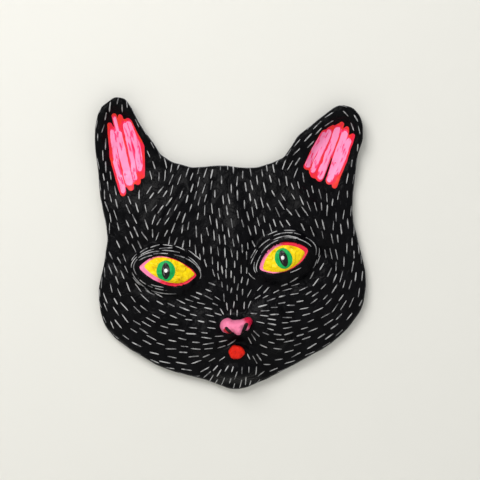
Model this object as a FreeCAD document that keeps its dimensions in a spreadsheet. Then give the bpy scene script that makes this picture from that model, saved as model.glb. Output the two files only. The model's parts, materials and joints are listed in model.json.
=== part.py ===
"""A wall-hung cat mask of layered paper: a hollow moulded face, two dished ears, modelled
features glued on its front and a wire ring that swings in a cloth strap on its back.

Frame: millimetres, +Z up, +X to the right of someone who looks at the face, +Y into the wall.
The wall plane is Y = 0, and the origin is where the nail that carries the mask enters the wall.
"""

import FreeCAD
import Part
import math
import os

from FreeCAD import Rotation, Vector

# Sizes in millimetres and degrees: alias, value or formula, what it is. A feature stands at a set
# distance from the middle of the face and at a share of its height, so that its neighbours still
# meet it in a wider face and the chin keeps it in a shorter one. A brow ridge moves with its eye,
# and the ridge of the nose always ends at the nose.
SIZES = [
    ("head_width", 247.0, "face across the cheeks, without the ears"),
    ("head_height", 207.3, "face from chin to crown, without the ears"),
    ("head_shift", 1.4, "middle of the face, to the right of the nail"),
    ("crown_above_nail", 18.4, "top of the crown, above the nail"),
    ("edge_depth", 8.0, "height of the side wall that stands on the wall plane"),
    ("dome_rise", 14.0, "how far the middle of the face stands before its edge"),
    ("dome_power", 2.4, "how late the dome falls to its edge"),
    ("wall", 3.5, "paper of the moulded shell"),
    ("band_thickness", 1.2, "folded paper band inside the back edge"),
    ("band_height", 3.2, "the same band, front to back"),
    ("ear_depth", 16.0, "ear from its front rim to the wall plane, at its tip"),
    ("ear_root_depth", 10.0, "the same at the level of the crown"),
    ("ear_left_width", 78.0, "left ear with its root, across"),
    ("ear_left_height", 100.0, "left ear with its root, up"),
    ("ear_right_width", 87.0, "right ear with its root, across"),
    ("ear_right_height", 94.0, "right ear with its root, up"),
    ("ear_hollow_depth", 10.5, "dish in the front of each ear"),
    ("ear_left_hollow_width", 37.0, "left dish, across"),
    ("ear_left_hollow_length", 86.0, "left dish, along"),
    ("ear_left_lean", 11.0, "left dish, lean of its top to the left"),
    ("ear_right_hollow_width", 37.0, "right dish, across"),
    ("ear_right_hollow_length", 77.0, "right dish, along"),
    ("ear_right_lean", -26.0, "right dish, lean of its top to the right"),
    ("lining_thickness", 1.2, "painted card that lines each dish"),
    ("lining_below_rim", 2.6, "edge of that lining, behind the ear's front rim"),
    ("eye_left_x", "=head_shift - 59.0", "left eye, centre"),
    ("eye_left_z", "=crown_above_nail - 0.4708 * head_height", "left eye, centre"),
    ("eye_left_length", 53.0, "left eye between its corners"),
    ("eye_left_height", 24.5, "left eye between its lids"),
    ("eye_left_slant", -13.0, "left eye, turn of its long axis"),
    ("eye_right_x", "=head_shift + 47.4", "right eye, centre"),
    ("eye_right_z", "=crown_above_nail - 0.4202 * head_height", "right eye, centre"),
    ("eye_right_length", 47.5, "right eye between its corners"),
    ("eye_right_height", 23.5, "right eye between its lids"),
    ("eye_right_slant", 25.0, "right eye, turn of its long axis"),
    ("eyeball_rise", 10.0, "front of an eyeball before the shell"),
    ("lid_margin", 9.5, "width of the lids round an eyeball"),
    ("lid_rise", 12.0, "lids' own dome before the shell, if the eye did not cut it"),
    ("brow_left_above_eye", 46.2, "left brow ridge's centre above the left eye's"),
    ("brow_right_above_eye", 37.7, "right brow ridge's centre above the right eye's"),
    ("brow_left_x", "=eye_left_x - 0.0452 * eye_left_length", "left brow ridge, centre"),
    ("brow_left_z", "=eye_left_z + brow_left_above_eye", "left brow ridge, centre"),
    ("brow_right_x", "=eye_right_x + 0.5096 * eye_right_length", "right brow ridge, centre"),
    ("brow_right_z", "=eye_right_z + brow_right_above_eye", "right brow ridge, centre"),
    ("brow_length", 64.0, "brow ridge, along"),
    ("brow_width", 34.0, "brow ridge, across"),
    ("brow_rise", 4.5, "brow ridge before the shell"),
    ("brow_slant", 46.0, "turn of the left brow ridge; the right one is its mirror"),
    ("bridge_x", "=head_shift + 3.2", "ridge of the nose, centre"),
    ("bridge_z", "=crown_above_nail - 0.4554 * head_height", "ridge of the nose, centre"),
    ("bridge_length", "=2 * (bridge_z - nose_z) + 5.6", "ridge of the nose, along"),
    ("bridge_width", 38.0, "ridge of the nose, across"),
    ("bridge_rise", 8.0, "ridge of the nose before the shell"),
    ("muzzle_left_x", "=head_shift - 20.0", "left whisker pad, centre"),
    ("muzzle_left_z", "=crown_above_nail - 0.7352 * head_height", "left whisker pad, centre"),
    ("muzzle_left_width", 50.0, "left whisker pad, across"),
    ("muzzle_left_height", 44.0, "left whisker pad, up"),
    ("muzzle_right_x", "=head_shift + 29.6", "right whisker pad, centre"),
    ("muzzle_right_z", "=crown_above_nail - 0.7062 * head_height", "right whisker pad, centre"),
    ("muzzle_right_width", 57.0, "right whisker pad, across"),
    ("muzzle_right_height", 50.0, "right whisker pad, up"),
    ("muzzle_rise", 14.0, "whisker pads before the shell"),
    ("nose_x", "=head_shift + 3.4", "nose, centre"),
    ("nose_z", "=crown_above_nail - 0.7120 * head_height", "nose, centre"),
    ("nose_width", 30.5, "nose, across"),
    ("nose_height", 17.5, "nose, up"),
    ("nose_rise", 20.0, "tip of the nose before the shell"),
    ("tongue_x", "=head_shift + 3.7", "tongue tip, centre"),
    ("tongue_z", "=crown_above_nail - 0.8312 * head_height", "tongue tip, centre"),
    ("tongue_width", 15.2, "tongue tip, across"),
    ("tongue_height", 13.4, "tongue tip, up"),
    ("tongue_rise", 11.5, "tongue tip before the shell"),
    ("chin_x", "=head_shift + 3.2", "chin pad, centre"),
    ("chin_z", "=crown_above_nail - 0.8992 * head_height", "chin pad, centre"),
    ("chin_width", 52.0, "chin pad, across"),
    ("chin_height", 29.0, "chin pad, up"),
    ("chin_rise", 10.5, "chin pad before the shell"),
    ("pad_sink", 4.0, "how far a modelled pad's own centre lies under the shell's face"),
    ("ring_wire", 2.0, "diameter of the hanging ring's wire"),
    ("ring_half_width", 9.0, "half the ring's width, on the wire's centre line"),
    ("ring_corner", 2.5, "radius where the ring's bar meets its bow"),
    ("ring_lean", 15.0, "the ring's angle from upright when a nail carries it"),
    ("nail_radius", 1.25, "the nail that the ring is made for"),
    ("bar_clearance", 0.1, "play between the ring's bar and the strap's loop"),
    ("strap_width", 8.0, "cloth strap, across"),
    ("strap_thickness", 0.8, "cloth strap"),
    ("strap_tail", 22.0, "glued tail of the strap, down from the bar"),
    ("strap_standoff", 0.3, "room between the strap's loop and the shell"),
    ("patch_width", 30.0, "paper patch over the strap's tail, across"),
    ("patch_gap", 4.5, "bare tail between the bar and the patch"),
    ("patch_cover", 4.0, "patch below the end of the tail"),
    ("patch_thickness", 1.3, "patch, on the shell"),
]

# Points of the face's outline, clockwise from the crown, as shares of its width and height.
HEAD_OUTLINE = [
    (-0.013, 0.496),  # crown
    (0.091, 0.491),
    (0.177, 0.500),  # inner root of the right ear
    (0.363, 0.464),
    (0.446, 0.353),  # outer root of the right ear
    (0.449, 0.273),  # right temple
    (0.472, 0.153),
    (0.500, -0.029),  # right cheek
    (0.490, -0.113),
    (0.442, -0.213),  # right jaw
    (0.373, -0.291),
    (0.294, -0.349),
    (0.177, -0.424),
    (0.065, -0.484),
    (0.011, -0.500),  # chin
    (-0.058, -0.474),
    (-0.159, -0.438),
    (-0.271, -0.399),
    (-0.373, -0.329),
    (-0.465, -0.238),  # left jaw
    (-0.496, -0.144),
    (-0.500, -0.058),  # left cheek
    (-0.481, 0.069),
    (-0.471, 0.144),  # nick in the left temple
    (-0.477, 0.256),
    (-0.491, 0.362),  # outer root of the left ear
    (-0.412, 0.464),
    (-0.271, 0.500),  # inner root of the left ear
    (-0.159, 0.490),
]
EAR_LEFT_CORNER, EAR_RIGHT_CORNER = 26, 3  # the outline's points under each ear

# Each ear's outline from that corner point, as shares of the ear's width and height.
EAR_LEFT_OUTLINE = [
    (0.669, 0.068),  # inner root
    (0.505, 0.134),
    (0.382, 0.260),
    (0.256, 0.395),
    (0.132, 0.550),
    (0.071, 0.667),
    (-0.079, 0.706),  # tip
    (-0.203, 0.657),
    (-0.303, 0.492),
    (-0.321, 0.240),
    (-0.291, 0.027),
    (-0.245, -0.170),  # outer root
    (-0.097, -0.290),
    (0.197, -0.250),
    (0.454, -0.130),
]
EAR_RIGHT_OUTLINE = [
    (-0.655, 0.069),  # inner root
    (-0.529, 0.118),
    (-0.439, 0.201),
    (-0.339, 0.365),
    (-0.128, 0.520),
    (0.074, 0.660),
    (0.195, 0.663),  # tip
    (0.287, 0.608),
    (0.333, 0.539),
    (0.345, 0.314),
    (0.300, 0.189),
    (0.276, -0.010),
    (0.252, -0.160),  # outer root
    (0.137, -0.300),
    (-0.128, -0.266),
    (-0.403, -0.138),
]
EAR_LEFT_DISH, EAR_RIGHT_DISH = (0.026, 0.178), (-0.002, 0.173)  # middle of each dish, likewise

OUTLINE_SAMPLES = 480  # chords that stand in for the outline when its radius is looked up
GRID_STEPS = 24  # steps across the surface that the dome is drawn through
GRID_MARGIN = 6.0  # how far that surface runs past the outline
DEEP = 90.0  # longer than the mask is deep, for cutting tools

doc = FreeCAD.newDocument("cat_mask")
sheet = doc.addObject("Spreadsheet::Sheet", "Sizes")
for row, (alias, value, meaning) in enumerate(SIZES, start=1):
    sheet.set(f"A{row}", meaning)
    sheet.set(f"B{row}", str(value))
    sheet.setAlias(f"B{row}", alias)
doc.recompute()


def size(alias):
    """The value of a cell of the sheet."""
    return float(sheet.get(alias))


HEAD_MIDDLE = Vector(
    size("head_shift"), 0, size("crown_above_nail") - size("head_height") / 2
)


# ---------------------------------------------------------------- outlines and surfaces


def head_points():
    """The points of the face's outline, on the wall plane."""
    return [
        HEAD_MIDDLE + Vector(u * size("head_width"), 0, v * size("head_height"))
        for u, v in HEAD_OUTLINE
    ]


def ear_point(side, share):
    """A point of an ear, given as shares of its size from the corner of the face under it."""
    corner = EAR_LEFT_CORNER if side == "left" else EAR_RIGHT_CORNER
    u, v = share
    return head_points()[corner] + Vector(
        u * size(f"ear_{side}_width"), 0, v * size(f"ear_{side}_height")
    )


def ear_points(side):
    """The points of an ear's outline, on the wall plane."""
    outline = EAR_LEFT_OUTLINE if side == "left" else EAR_RIGHT_OUTLINE
    return [ear_point(side, share) for share in outline]


def closed_curve(points):
    """A smooth closed curve through points."""
    curve = Part.BSplineCurve()
    curve.interpolate(Points=points, PeriodicFlag=True)
    return curve


def inset_curve(curve, distance):
    """The closed curve that runs inside another on the wall plane, at a distance."""
    first, last = curve.FirstParameter, curve.LastParameter
    inside = []
    for step in range(2 * len(HEAD_OUTLINE)):
        at = first + (last - first) * step / (2 * len(HEAD_OUTLINE))
        inward = curve.tangent(at)[0].cross(Vector(0, 1, 0))
        point = curve.value(at)
        if (HEAD_MIDDLE - point).dot(inward) < 0:
            inward = -inward
        inside.append(point + inward.normalize() * distance)
    return closed_curve(inside)


def prism(curve, front, back):
    """The solid inside a closed curve, between two depths."""
    face = Part.Face(Part.Wire(curve.toShape()))
    face.translate(Vector(0, front, 0))
    return face.extrude(Vector(0, back - front, 0))


HEAD_CURVE = closed_curve(head_points())
HEAD_SAMPLES = [point - HEAD_MIDDLE for point in HEAD_CURVE.discretize(OUTLINE_SAMPLES)]
HEAD_RADII = sorted((math.atan2(p.z, p.x), math.hypot(p.x, p.z)) for p in HEAD_SAMPLES)


def outline_radius(angle):
    """Distance from the middle of the face to its outline, in one direction."""
    before = [pair for pair in HEAD_RADII if pair[0] <= angle]
    after = [pair for pair in HEAD_RADII if pair[0] > angle]
    low = before[-1] if before else (HEAD_RADII[-1][0] - 2 * math.pi, HEAD_RADII[-1][1])
    high = after[0] if after else (HEAD_RADII[0][0] + 2 * math.pi, HEAD_RADII[0][1])
    share = (angle - low[0]) / max(high[0] - low[0], 1e-9)
    return low[1] + (high[1] - low[1]) * share


def dome_height(x, z):
    """How far the shell's front stands before the wall plane: the edge's depth at the outline,
    and more towards the middle."""
    across, up = x - HEAD_MIDDLE.x, z - HEAD_MIDDLE.z
    radius = math.hypot(across, up)
    share = radius / outline_radius(math.atan2(up, across)) if radius else 0.0
    return size("edge_depth") + size("dome_rise") * (1 - share ** size("dome_power"))


def dome_surface():
    """The shell's front as one smooth surface, drawn past the outline on every side."""
    box = HEAD_CURVE.toShape().BoundBox
    rows = []
    for i in range(GRID_STEPS + 1):
        x = box.XMin - GRID_MARGIN + (box.XLength + 2 * GRID_MARGIN) * i / GRID_STEPS
        row_points = []
        for j in range(GRID_STEPS + 1):
            z = box.ZMin - GRID_MARGIN + (box.ZLength + 2 * GRID_MARGIN) * j / GRID_STEPS
            row_points.append(Vector(x, -dome_height(x, z), z))
        rows.append(row_points)
    surface = Part.BSplineSurface()
    surface.interpolate(rows)
    return surface.toShape()


def behind(face, shift=0.0, depth=DEEP):
    """The solid behind the dome's surface, moved back by a shift and of a given depth."""
    moved = face.copy()
    moved.translate(Vector(0, shift, 0))
    return moved.extrude(Vector(0, depth, 0))


# ---------------------------------------------------------------- objects of the document


def feature(label, shape, placement=None):
    """A plain object that holds a shape."""
    made = doc.addObject("Part::Feature", label)
    made.Label = label
    made.Shape = shape
    if placement:
        made.Placement = placement
    return made


def boolean(kind, label, base, tool):
    """A Part::Cut or Part::Common of two objects."""
    made = doc.addObject(kind, label)
    made.Base = base
    made.Tool = tool
    return made


def cut_by(label, base, tools):
    """An object less each of several others, one after the other."""
    for number, tool in enumerate(tools, start=1):
        name = label if number == len(tools) else f"{label}_cut_{number}"
        base = boolean("Part::Cut", name, base, tool)
    base.Label = label
    return base


def turned(slant, tip=0.0):
    """A turn in the plane of the wall, seen from the front, after a nod about X."""
    return Rotation(Vector(0, -1, 0), slant).multiply(Rotation(Vector(1, 0, 0), tip))


def ellipsoid(label, x, y, z, width, depth, height, slant=0.0, tip=0.0):
    """An ellipsoid about a centre. Its width, depth (before its centre) and height are
    expressions over the sheet."""
    made = doc.addObject("Part::Ellipsoid", label)
    made.setExpression("Radius2", f"({width}) / 2")
    made.setExpression("Radius3", depth)
    made.setExpression("Radius1", f"({height}) / 2")
    made.Angle1, made.Angle2, made.Angle3 = -90, 90, 360
    made.Placement = FreeCAD.Placement(Vector(x, y, z), turned(slant, tip))
    return made


def pad(label, place, rise, width, height, slant=0.0, tip=0.0):
    """An ellipsoid whose centre lies under the shell's face and whose front rises before it."""
    x, z = size(f"{place}_x"), size(f"{place}_z")
    centre = -(dome_height(x, z) - size("pad_sink"))
    depth = f"Sizes.{rise} + Sizes.pad_sink"
    return ellipsoid(label, x, centre, z, width, depth, height, slant, tip)


def almond(label, side):
    """The almond-shaped bar, front to back, that parts an eyeball from its lids."""
    x, z = size(f"eye_{side}_x"), size(f"eye_{side}_z")
    long_half = Vector(size(f"eye_{side}_length") / 2, 0, 0)
    high_half = Vector(0, size(f"eye_{side}_height") / 2, 0)
    over = Part.Arc(-long_half, high_half, long_half).toShape()
    under = Part.Arc(long_half, -high_half, -long_half).toShape()
    bar = Part.Face(Part.Wire([over, under])).extrude(Vector(0, 0, DEEP))
    stand_up = Rotation(Vector(1, 0, 0), 90)
    place = FreeCAD.Placement(
        Vector(x, 0, z), turned(size(f"eye_{side}_slant")).multiply(stand_up)
    )
    return feature(label, bar, place)


def half_space(label, side, upper):
    """The block above or below an eye's long axis."""
    wide = 2 * size(f"eye_{side}_length")
    block = Part.makeBox(
        2 * wide, 2 * DEEP, wide, Vector(-wide, -DEEP, 0 if upper else -wide)
    )
    place = FreeCAD.Placement(
        Vector(size(f"eye_{side}_x"), 0, size(f"eye_{side}_z")),
        turned(size(f"eye_{side}_slant")),
    )
    return feature(label, block, place)


# ---------------------------------------------------------------- shell, band and ears

dome = dome_surface()
inner_curve = inset_curve(HEAD_CURVE, size("wall"))
band_curve = inset_curve(HEAD_CURVE, size("wall") + size("band_thickness"))

head_block = feature("head_block", prism(HEAD_CURVE, -DEEP, 0))
behind_dome = feature("behind_dome", behind(dome))
head_solid = boolean("Part::Common", "head_solid", head_block, behind_dome)
inner_block = feature("inner_block", prism(inner_curve, -DEEP, 0))
behind_inner = feature("behind_inner", behind(dome, size("wall")))
hollow = boolean("Part::Common", "hollow", inner_block, behind_inner)
face_shell = boolean("Part::Cut", "face_shell", head_solid, hollow)

band_outer = feature("band_outer", prism(inner_curve, -size("band_height"), 0))
band_inner = feature("band_inner", prism(band_curve, -DEEP, DEEP))
rim_band = boolean("Part::Cut", "rim_band", band_outer, band_inner)


def ear_front(label, side, behind_rim=0.0):
    """The block behind an ear's front, which leans from its root to its tip."""
    tip_z = max(point.z for point in ear_points(side))
    root_z = size("crown_above_nail")
    root_y = -size("ear_root_depth") + behind_rim
    tip_y = -size("ear_depth") + behind_rim
    lean = math.degrees(math.atan2(root_y - tip_y, tip_z - root_z))
    block = Part.makeBox(4 * DEEP, DEEP, 4 * DEEP, Vector(-2 * DEEP, 0, -2 * DEEP))
    turn = Rotation(Vector(1, 0, 0), lean)
    return feature(label, block, FreeCAD.Placement(Vector(0, root_y, root_z), turn))


def ear_and_lining(side):
    """An ear, dished in front and butted on the side of the face, and the card in its dish."""
    outline = feature(
        f"ear_{side}_outline", prism(closed_curve(ear_points(side)), -DEEP, 0)
    )
    front = ear_front(f"ear_{side}_front", side)
    block = boolean("Part::Common", f"ear_{side}_block", outline, front)
    middle = ear_point(side, EAR_LEFT_DISH if side == "left" else EAR_RIGHT_DISH)
    width, length = (
        f"Sizes.ear_{side}_hollow_width",
        f"Sizes.ear_{side}_hollow_length",
    )
    place = (middle.x, -(size("ear_depth") + size("ear_root_depth")) / 2, middle.z)
    lean = size(f"ear_{side}_lean")
    dish = ellipsoid(
        f"ear_{side}_dish", *place, width, "Sizes.ear_hollow_depth", length, lean
    )
    lining_back = "2 * Sizes.lining_thickness"
    inside = ellipsoid(
        f"ear_{side}_inside",
        *place,
        f"{width} - {lining_back}",
        "Sizes.ear_hollow_depth - Sizes.lining_thickness",
        f"{length} - {lining_back}",
        lean,
    )
    ear = cut_by(f"ear_{side}", block, [head_block, dish])
    skin = boolean("Part::Cut", f"ear_{side}_skin", dish, inside)
    below_rim = ear_front(f"ear_{side}_below_rim", side, size("lining_below_rim"))
    trimmed = boolean("Part::Common", f"ear_{side}_lining_low", skin, below_rim)
    inside_ear = boolean("Part::Common", f"ear_{side}_lining_in", trimmed, outline)
    return ear, cut_by(f"ear_lining_{side}", inside_ear, [head_block])


ear_left, ear_lining_left = ear_and_lining("left")
ear_right, ear_lining_right = ear_and_lining("right")

# ---------------------------------------------------------------- modelled features


def eye(side):
    """An eyeball and its two lids, seated on the shell."""
    bar = almond(f"eye_{side}_bar", side)
    slant = size(f"eye_{side}_slant")
    length, height = f"Sizes.eye_{side}_length", f"Sizes.eye_{side}_height"
    ball = pad(
        f"eye_{side}_ball",
        f"eye_{side}",
        "eyeball_rise",
        f"{length} * 1.15",
        f"{height} * 1.3",
        slant,
    )
    ball_front = boolean("Part::Common", f"eye_{side}_front", ball, bar)
    eyeball = cut_by(f"eyeball_{side}", ball_front, [behind_dome])
    lids = pad(
        f"eye_{side}_lids",
        f"eye_{side}",
        "lid_rise",
        f"{length} + 2 * Sizes.lid_margin",
        f"{height} + 2 * Sizes.lid_margin",
        slant,
    )
    ring = cut_by(f"eye_{side}_ring", lids, [behind_dome, bar])
    upper = boolean(
        "Part::Common",
        f"upper_lid_{side}",
        ring,
        half_space(f"above_eye_{side}", side, True),
    )
    lower = boolean(
        "Part::Common",
        f"lower_lid_{side}",
        ring,
        half_space(f"below_eye_{side}", side, False),
    )
    return eyeball, upper, lower, lids


eyeball_left, upper_lid_left, lower_lid_left, lids_left = eye("left")
eyeball_right, upper_lid_right, lower_lid_right, lids_right = eye("right")

nose_x, nose_z = size("nose_x"), size("nose_z")
nose_core = ellipsoid(
    "nose_core",
    nose_x,
    -dome_height(nose_x, nose_z) - size("pad_sink"),
    nose_z,
    "Sizes.nose_width",
    "Sizes.nose_rise - Sizes.pad_sink",
    "Sizes.nose_height",
)
nose = cut_by("nose", nose_core, [behind_dome])
tongue_core = pad(
    "tongue_core", "tongue", "tongue_rise", "Sizes.tongue_width", "Sizes.tongue_height"
)
tongue = cut_by("tongue", tongue_core, [behind_dome, nose_core])
muzzle_left_core = pad(
    "muzzle_left_core",
    "muzzle_left",
    "muzzle_rise",
    "Sizes.muzzle_left_width",
    "Sizes.muzzle_left_height",
)
muzzle_right_core = pad(
    "muzzle_right_core",
    "muzzle_right",
    "muzzle_rise",
    "Sizes.muzzle_right_width",
    "Sizes.muzzle_right_height",
)
muzzle_right = cut_by(
    "muzzle_right", muzzle_right_core, [behind_dome, nose_core, tongue_core]
)
muzzle_left = cut_by(
    "muzzle_left",
    muzzle_left_core,
    [behind_dome, nose_core, tongue_core, muzzle_right_core],
)
chin_core = pad("chin_core", "chin", "chin_rise", "Sizes.chin_width", "Sizes.chin_height")
chin = cut_by(
    "chin", chin_core, [behind_dome, tongue_core, muzzle_left_core, muzzle_right_core]
)
bridge_core = pad(
    "bridge_core",
    "bridge",
    "bridge_rise",
    "Sizes.bridge_width",
    "Sizes.bridge_length",
)
nose_bridge = cut_by(
    "nose_bridge",
    bridge_core,
    [behind_dome, nose_core, muzzle_left_core, muzzle_right_core, lids_left, lids_right],
)


def brow(side, lids, slant):
    """The ridge over an eye."""
    core = pad(
        f"brow_{side}_core",
        f"brow_{side}",
        "brow_rise",
        "Sizes.brow_length",
        "Sizes.brow_width",
        slant,
    )
    return cut_by(f"brow_{side}", core, [behind_dome, lids, bridge_core])


brow_left = brow("left", lids_left, size("brow_slant"))
brow_right = brow("right", lids_right, -size("brow_slant"))

# ---------------------------------------------------------------- hanging ring and strap

ring_reach = size("ring_corner") + size("ring_half_width") - size("ring_wire") / 2
lean_up = math.radians(size("ring_lean"))
bar_z = -(ring_reach * math.cos(lean_up) - size("nail_radius"))
loop_bore = size("ring_wire") / 2 + size("bar_clearance")
loop_outer = loop_bore + size("strap_thickness")
inner_face = dome_height(0, bar_z) - size("wall")  # depth of the hollow behind the bar
bar_y = -inner_face + loop_outer + size("strap_standoff")
BAR = Vector(0, bar_y, bar_z)


def torus_part(label, radius, start, sweep, centre):
    """Part of a ring of the wire about Y, from a start angle, at a centre from the bar."""
    made = doc.addObject("Part::Torus", label)
    made.setExpression("Radius1", radius)
    made.setExpression("Radius2", "Sizes.ring_wire / 2")
    made.Angle3 = sweep
    lie_flat = Rotation(Vector(1, 0, 0), 90)
    made.Placement = FreeCAD.Placement(
        BAR + centre, Rotation(Vector(0, -1, 0), start).multiply(lie_flat)
    )
    return made


def hanging_ring_object():
    """The D of wire: a straight bar, two small corners and a half-round bow under it."""
    half_bar = size("ring_half_width") - size("ring_corner")
    bar = doc.addObject("Part::Cylinder", "ring_bar")
    bar.setExpression("Radius", "Sizes.ring_wire / 2")
    bar.setExpression("Height", "2 * (Sizes.ring_half_width - Sizes.ring_corner)")
    bar.Placement = FreeCAD.Placement(
        BAR + Vector(-half_bar, 0, 0), Rotation(Vector(0, 1, 0), 90)
    )
    down = -size("ring_corner")
    right = torus_part(
        "ring_right", "Sizes.ring_corner", 0, 90, Vector(half_bar, 0, down)
    )
    left = torus_part(
        "ring_left", "Sizes.ring_corner", 90, 90, Vector(-half_bar, 0, down)
    )
    bow = torus_part("ring_bow", "Sizes.ring_half_width", 180, 180, Vector(0, 0, down))
    ring = doc.addObject("Part::MultiFuse", "hanging_ring")
    ring.Shapes = [bar, right, left, bow]
    return ring


def layer(label, thickness, wide, top, bottom):
    """A sheet on the inside of the shell, between two heights."""
    sheet_solid = behind(dome, size("wall"), thickness)
    window = Part.makeBox(
        wide, 2 * DEEP, top - bottom, Vector(-wide / 2, -DEEP, bottom)
    )
    return feature(label, sheet_solid.common(window))


def strap_object():
    """The cloth strap: a loop round the ring's bar and a tail glued down the shell."""
    wide = size("strap_width")
    loop = doc.addObject("Part::Cylinder", "strap_loop")
    loop.Radius = loop_outer
    loop.setExpression("Height", "Sizes.strap_width")
    loop.Placement = FreeCAD.Placement(
        BAR + Vector(-wide / 2, 0, 0), Rotation(Vector(0, 1, 0), 90)
    )
    bore = doc.addObject("Part::Cylinder", "strap_bore")
    bore.setExpression("Radius", "Sizes.ring_wire / 2 + Sizes.bar_clearance")
    bore.Height = 2 * wide
    bore.Placement = FreeCAD.Placement(
        BAR + Vector(-wide, 0, 0), Rotation(Vector(0, 1, 0), 90)
    )
    tail = layer(
        "strap_tail_sheet", size("strap_thickness"), wide, bar_z, bar_z - size("strap_tail")
    )
    web = feature(
        "strap_web",
        Part.makeBox(
            wide,
            inner_face + bar_y,
            loop_outer,
            Vector(-wide / 2, -inner_face - size("strap_thickness"), bar_z - loop_outer),
        ),
    )
    whole = doc.addObject("Part::MultiFuse", "strap_whole")
    whole.Shapes = [loop, tail, web]
    return cut_by("ring_strap", whole, [bore, face_shell])


hanging_ring = hanging_ring_object()
ring_strap = strap_object()
patch_sheet = layer(
    "patch_sheet",
    size("patch_thickness"),
    size("patch_width"),
    bar_z - size("patch_gap"),
    bar_z - size("strap_tail") - size("patch_cover"),
)
strap_patch = cut_by("strap_patch", patch_sheet, [ring_strap])

# ---------------------------------------------------------------- check and write

SUBPARTS = [
    face_shell,
    rim_band,
    ear_left,
    ear_right,
    ear_lining_left,
    ear_lining_right,
    brow_left,
    brow_right,
    nose_bridge,
    eyeball_left,
    eyeball_right,
    upper_lid_left,
    upper_lid_right,
    lower_lid_left,
    lower_lid_right,
    muzzle_left,
    muzzle_right,
    nose,
    tongue,
    chin,
    ring_strap,
    strap_patch,
    hanging_ring,
]


def check_and_write():
    """Recomputes the document, stops at any failed object and writes one STEP per sub-part."""
    doc.recompute()
    for made in doc.Objects:
        if {"Invalid", "Error"} & set(made.State):
            raise RuntimeError(f"{made.Label} failed: {made.State}")
    os.makedirs("parts", exist_ok=True)
    for made in SUBPARTS:
        shape = made.Shape
        if shape.isNull() or not shape.isValid() or not shape.Solids:
            raise RuntimeError(f"{made.Label} has no valid solid")
        solids = [solid for solid in shape.Solids]
        print(
            f"{made.Label:18s} solids {len(solids)}  volume {shape.Volume / 1000:8.2f} cm3"
        )
        whole = solids[0] if len(solids) == 1 else Part.makeCompound(solids)
        whole.exportStep(os.path.join("parts", f"{made.Label}.step"))


check_and_write()
print(f"ring bar at {BAR}")
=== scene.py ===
"""Looks of a wall-hung cat mask of layered paper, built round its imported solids.

The black skin is one moulded sheet drawn over the solids. Paint is laid on it as thin pieces of
its own: hair strokes, eye paint, ear paint. Lengths are in millimetres until a mesh is made.
"""

import json
import logging
import math
import random
from dataclasses import dataclass, field, replace
from enum import Enum
from typing import Callable, Iterable, Sequence

import bmesh
import bpy
import numpy as np
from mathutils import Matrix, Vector, noise
from mathutils.bvhtree import BVHTree
from mathutils.geometry import delaunay_2d_cdt

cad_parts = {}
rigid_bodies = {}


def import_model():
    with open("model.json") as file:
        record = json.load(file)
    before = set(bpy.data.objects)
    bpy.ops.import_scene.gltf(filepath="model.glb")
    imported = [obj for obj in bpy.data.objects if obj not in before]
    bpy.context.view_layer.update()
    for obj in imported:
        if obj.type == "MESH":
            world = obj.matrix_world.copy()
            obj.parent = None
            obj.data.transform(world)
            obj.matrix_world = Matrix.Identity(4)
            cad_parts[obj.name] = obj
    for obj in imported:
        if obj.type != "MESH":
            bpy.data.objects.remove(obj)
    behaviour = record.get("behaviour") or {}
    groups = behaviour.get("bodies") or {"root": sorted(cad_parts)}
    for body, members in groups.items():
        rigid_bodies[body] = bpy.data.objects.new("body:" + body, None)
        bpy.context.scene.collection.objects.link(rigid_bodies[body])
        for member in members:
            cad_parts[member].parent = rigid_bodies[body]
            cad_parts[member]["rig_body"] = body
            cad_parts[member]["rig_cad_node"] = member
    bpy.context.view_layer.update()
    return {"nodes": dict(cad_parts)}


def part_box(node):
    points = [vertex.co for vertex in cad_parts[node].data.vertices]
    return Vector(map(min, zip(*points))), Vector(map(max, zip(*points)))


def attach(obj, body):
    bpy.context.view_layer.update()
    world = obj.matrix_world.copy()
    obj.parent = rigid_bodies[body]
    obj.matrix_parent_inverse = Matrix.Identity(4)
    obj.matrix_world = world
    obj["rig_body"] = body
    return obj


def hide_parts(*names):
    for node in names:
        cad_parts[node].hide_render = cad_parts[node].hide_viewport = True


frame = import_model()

log = logging.getLogger("cat_mask")

MM = 0.001
Array = np.ndarray
Arrays = tuple[Array, Array]
Height = Callable[[Array, Array], Array]
Pair = tuple[float, float]
Colour = tuple[float, float, float]
Socket = bpy.types.NodeSocket


class Body(Enum):
    """The rigid bodies that pieces ride on."""

    MASK = "mask"
    RING = "ring"


class Slot(Enum):
    """The material slots of the record."""

    BLACK = "black_paper"
    HAIR = "hair_paint"
    BARE = "bare_paper"
    EAR = "ear_paint"
    EYE = "eye_paint"
    IRIS = "iris_paint"
    PUPIL = "pupil_paint"
    SPARK = "spark_paint"
    RIM = "rim_paint"
    NOSE = "nose_paint"
    TONGUE = "tongue_paint"
    STRAP = "strap_cloth"
    WIRE = "ring_wire"


# ------------------------------------------------------------------ plane geometry


def node_points(node: str) -> Array:
    """Vertices of a CAD node.

    Args:
        node: the node's name.

    Returns:
        An array of x, y, z rows in millimetres.
    """
    mesh = frame["nodes"][node].data
    flat = np.zeros(len(mesh.vertices) * 3)
    mesh.vertices.foreach_get("co", flat)
    return flat.reshape(-1, 3) / MM


def node_triangles(node: str) -> Array:
    """Vertex numbers of a CAD node's triangles.

    Args:
        node: the node's name.

    Returns:
        An array of three numbers a row.
    """
    mesh = frame["nodes"][node].data
    mesh.calc_loop_triangles()
    flat = np.zeros(len(mesh.loop_triangles) * 3, int)
    mesh.loop_triangles.foreach_get("vertices", flat)
    return flat.reshape(-1, 3)


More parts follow.
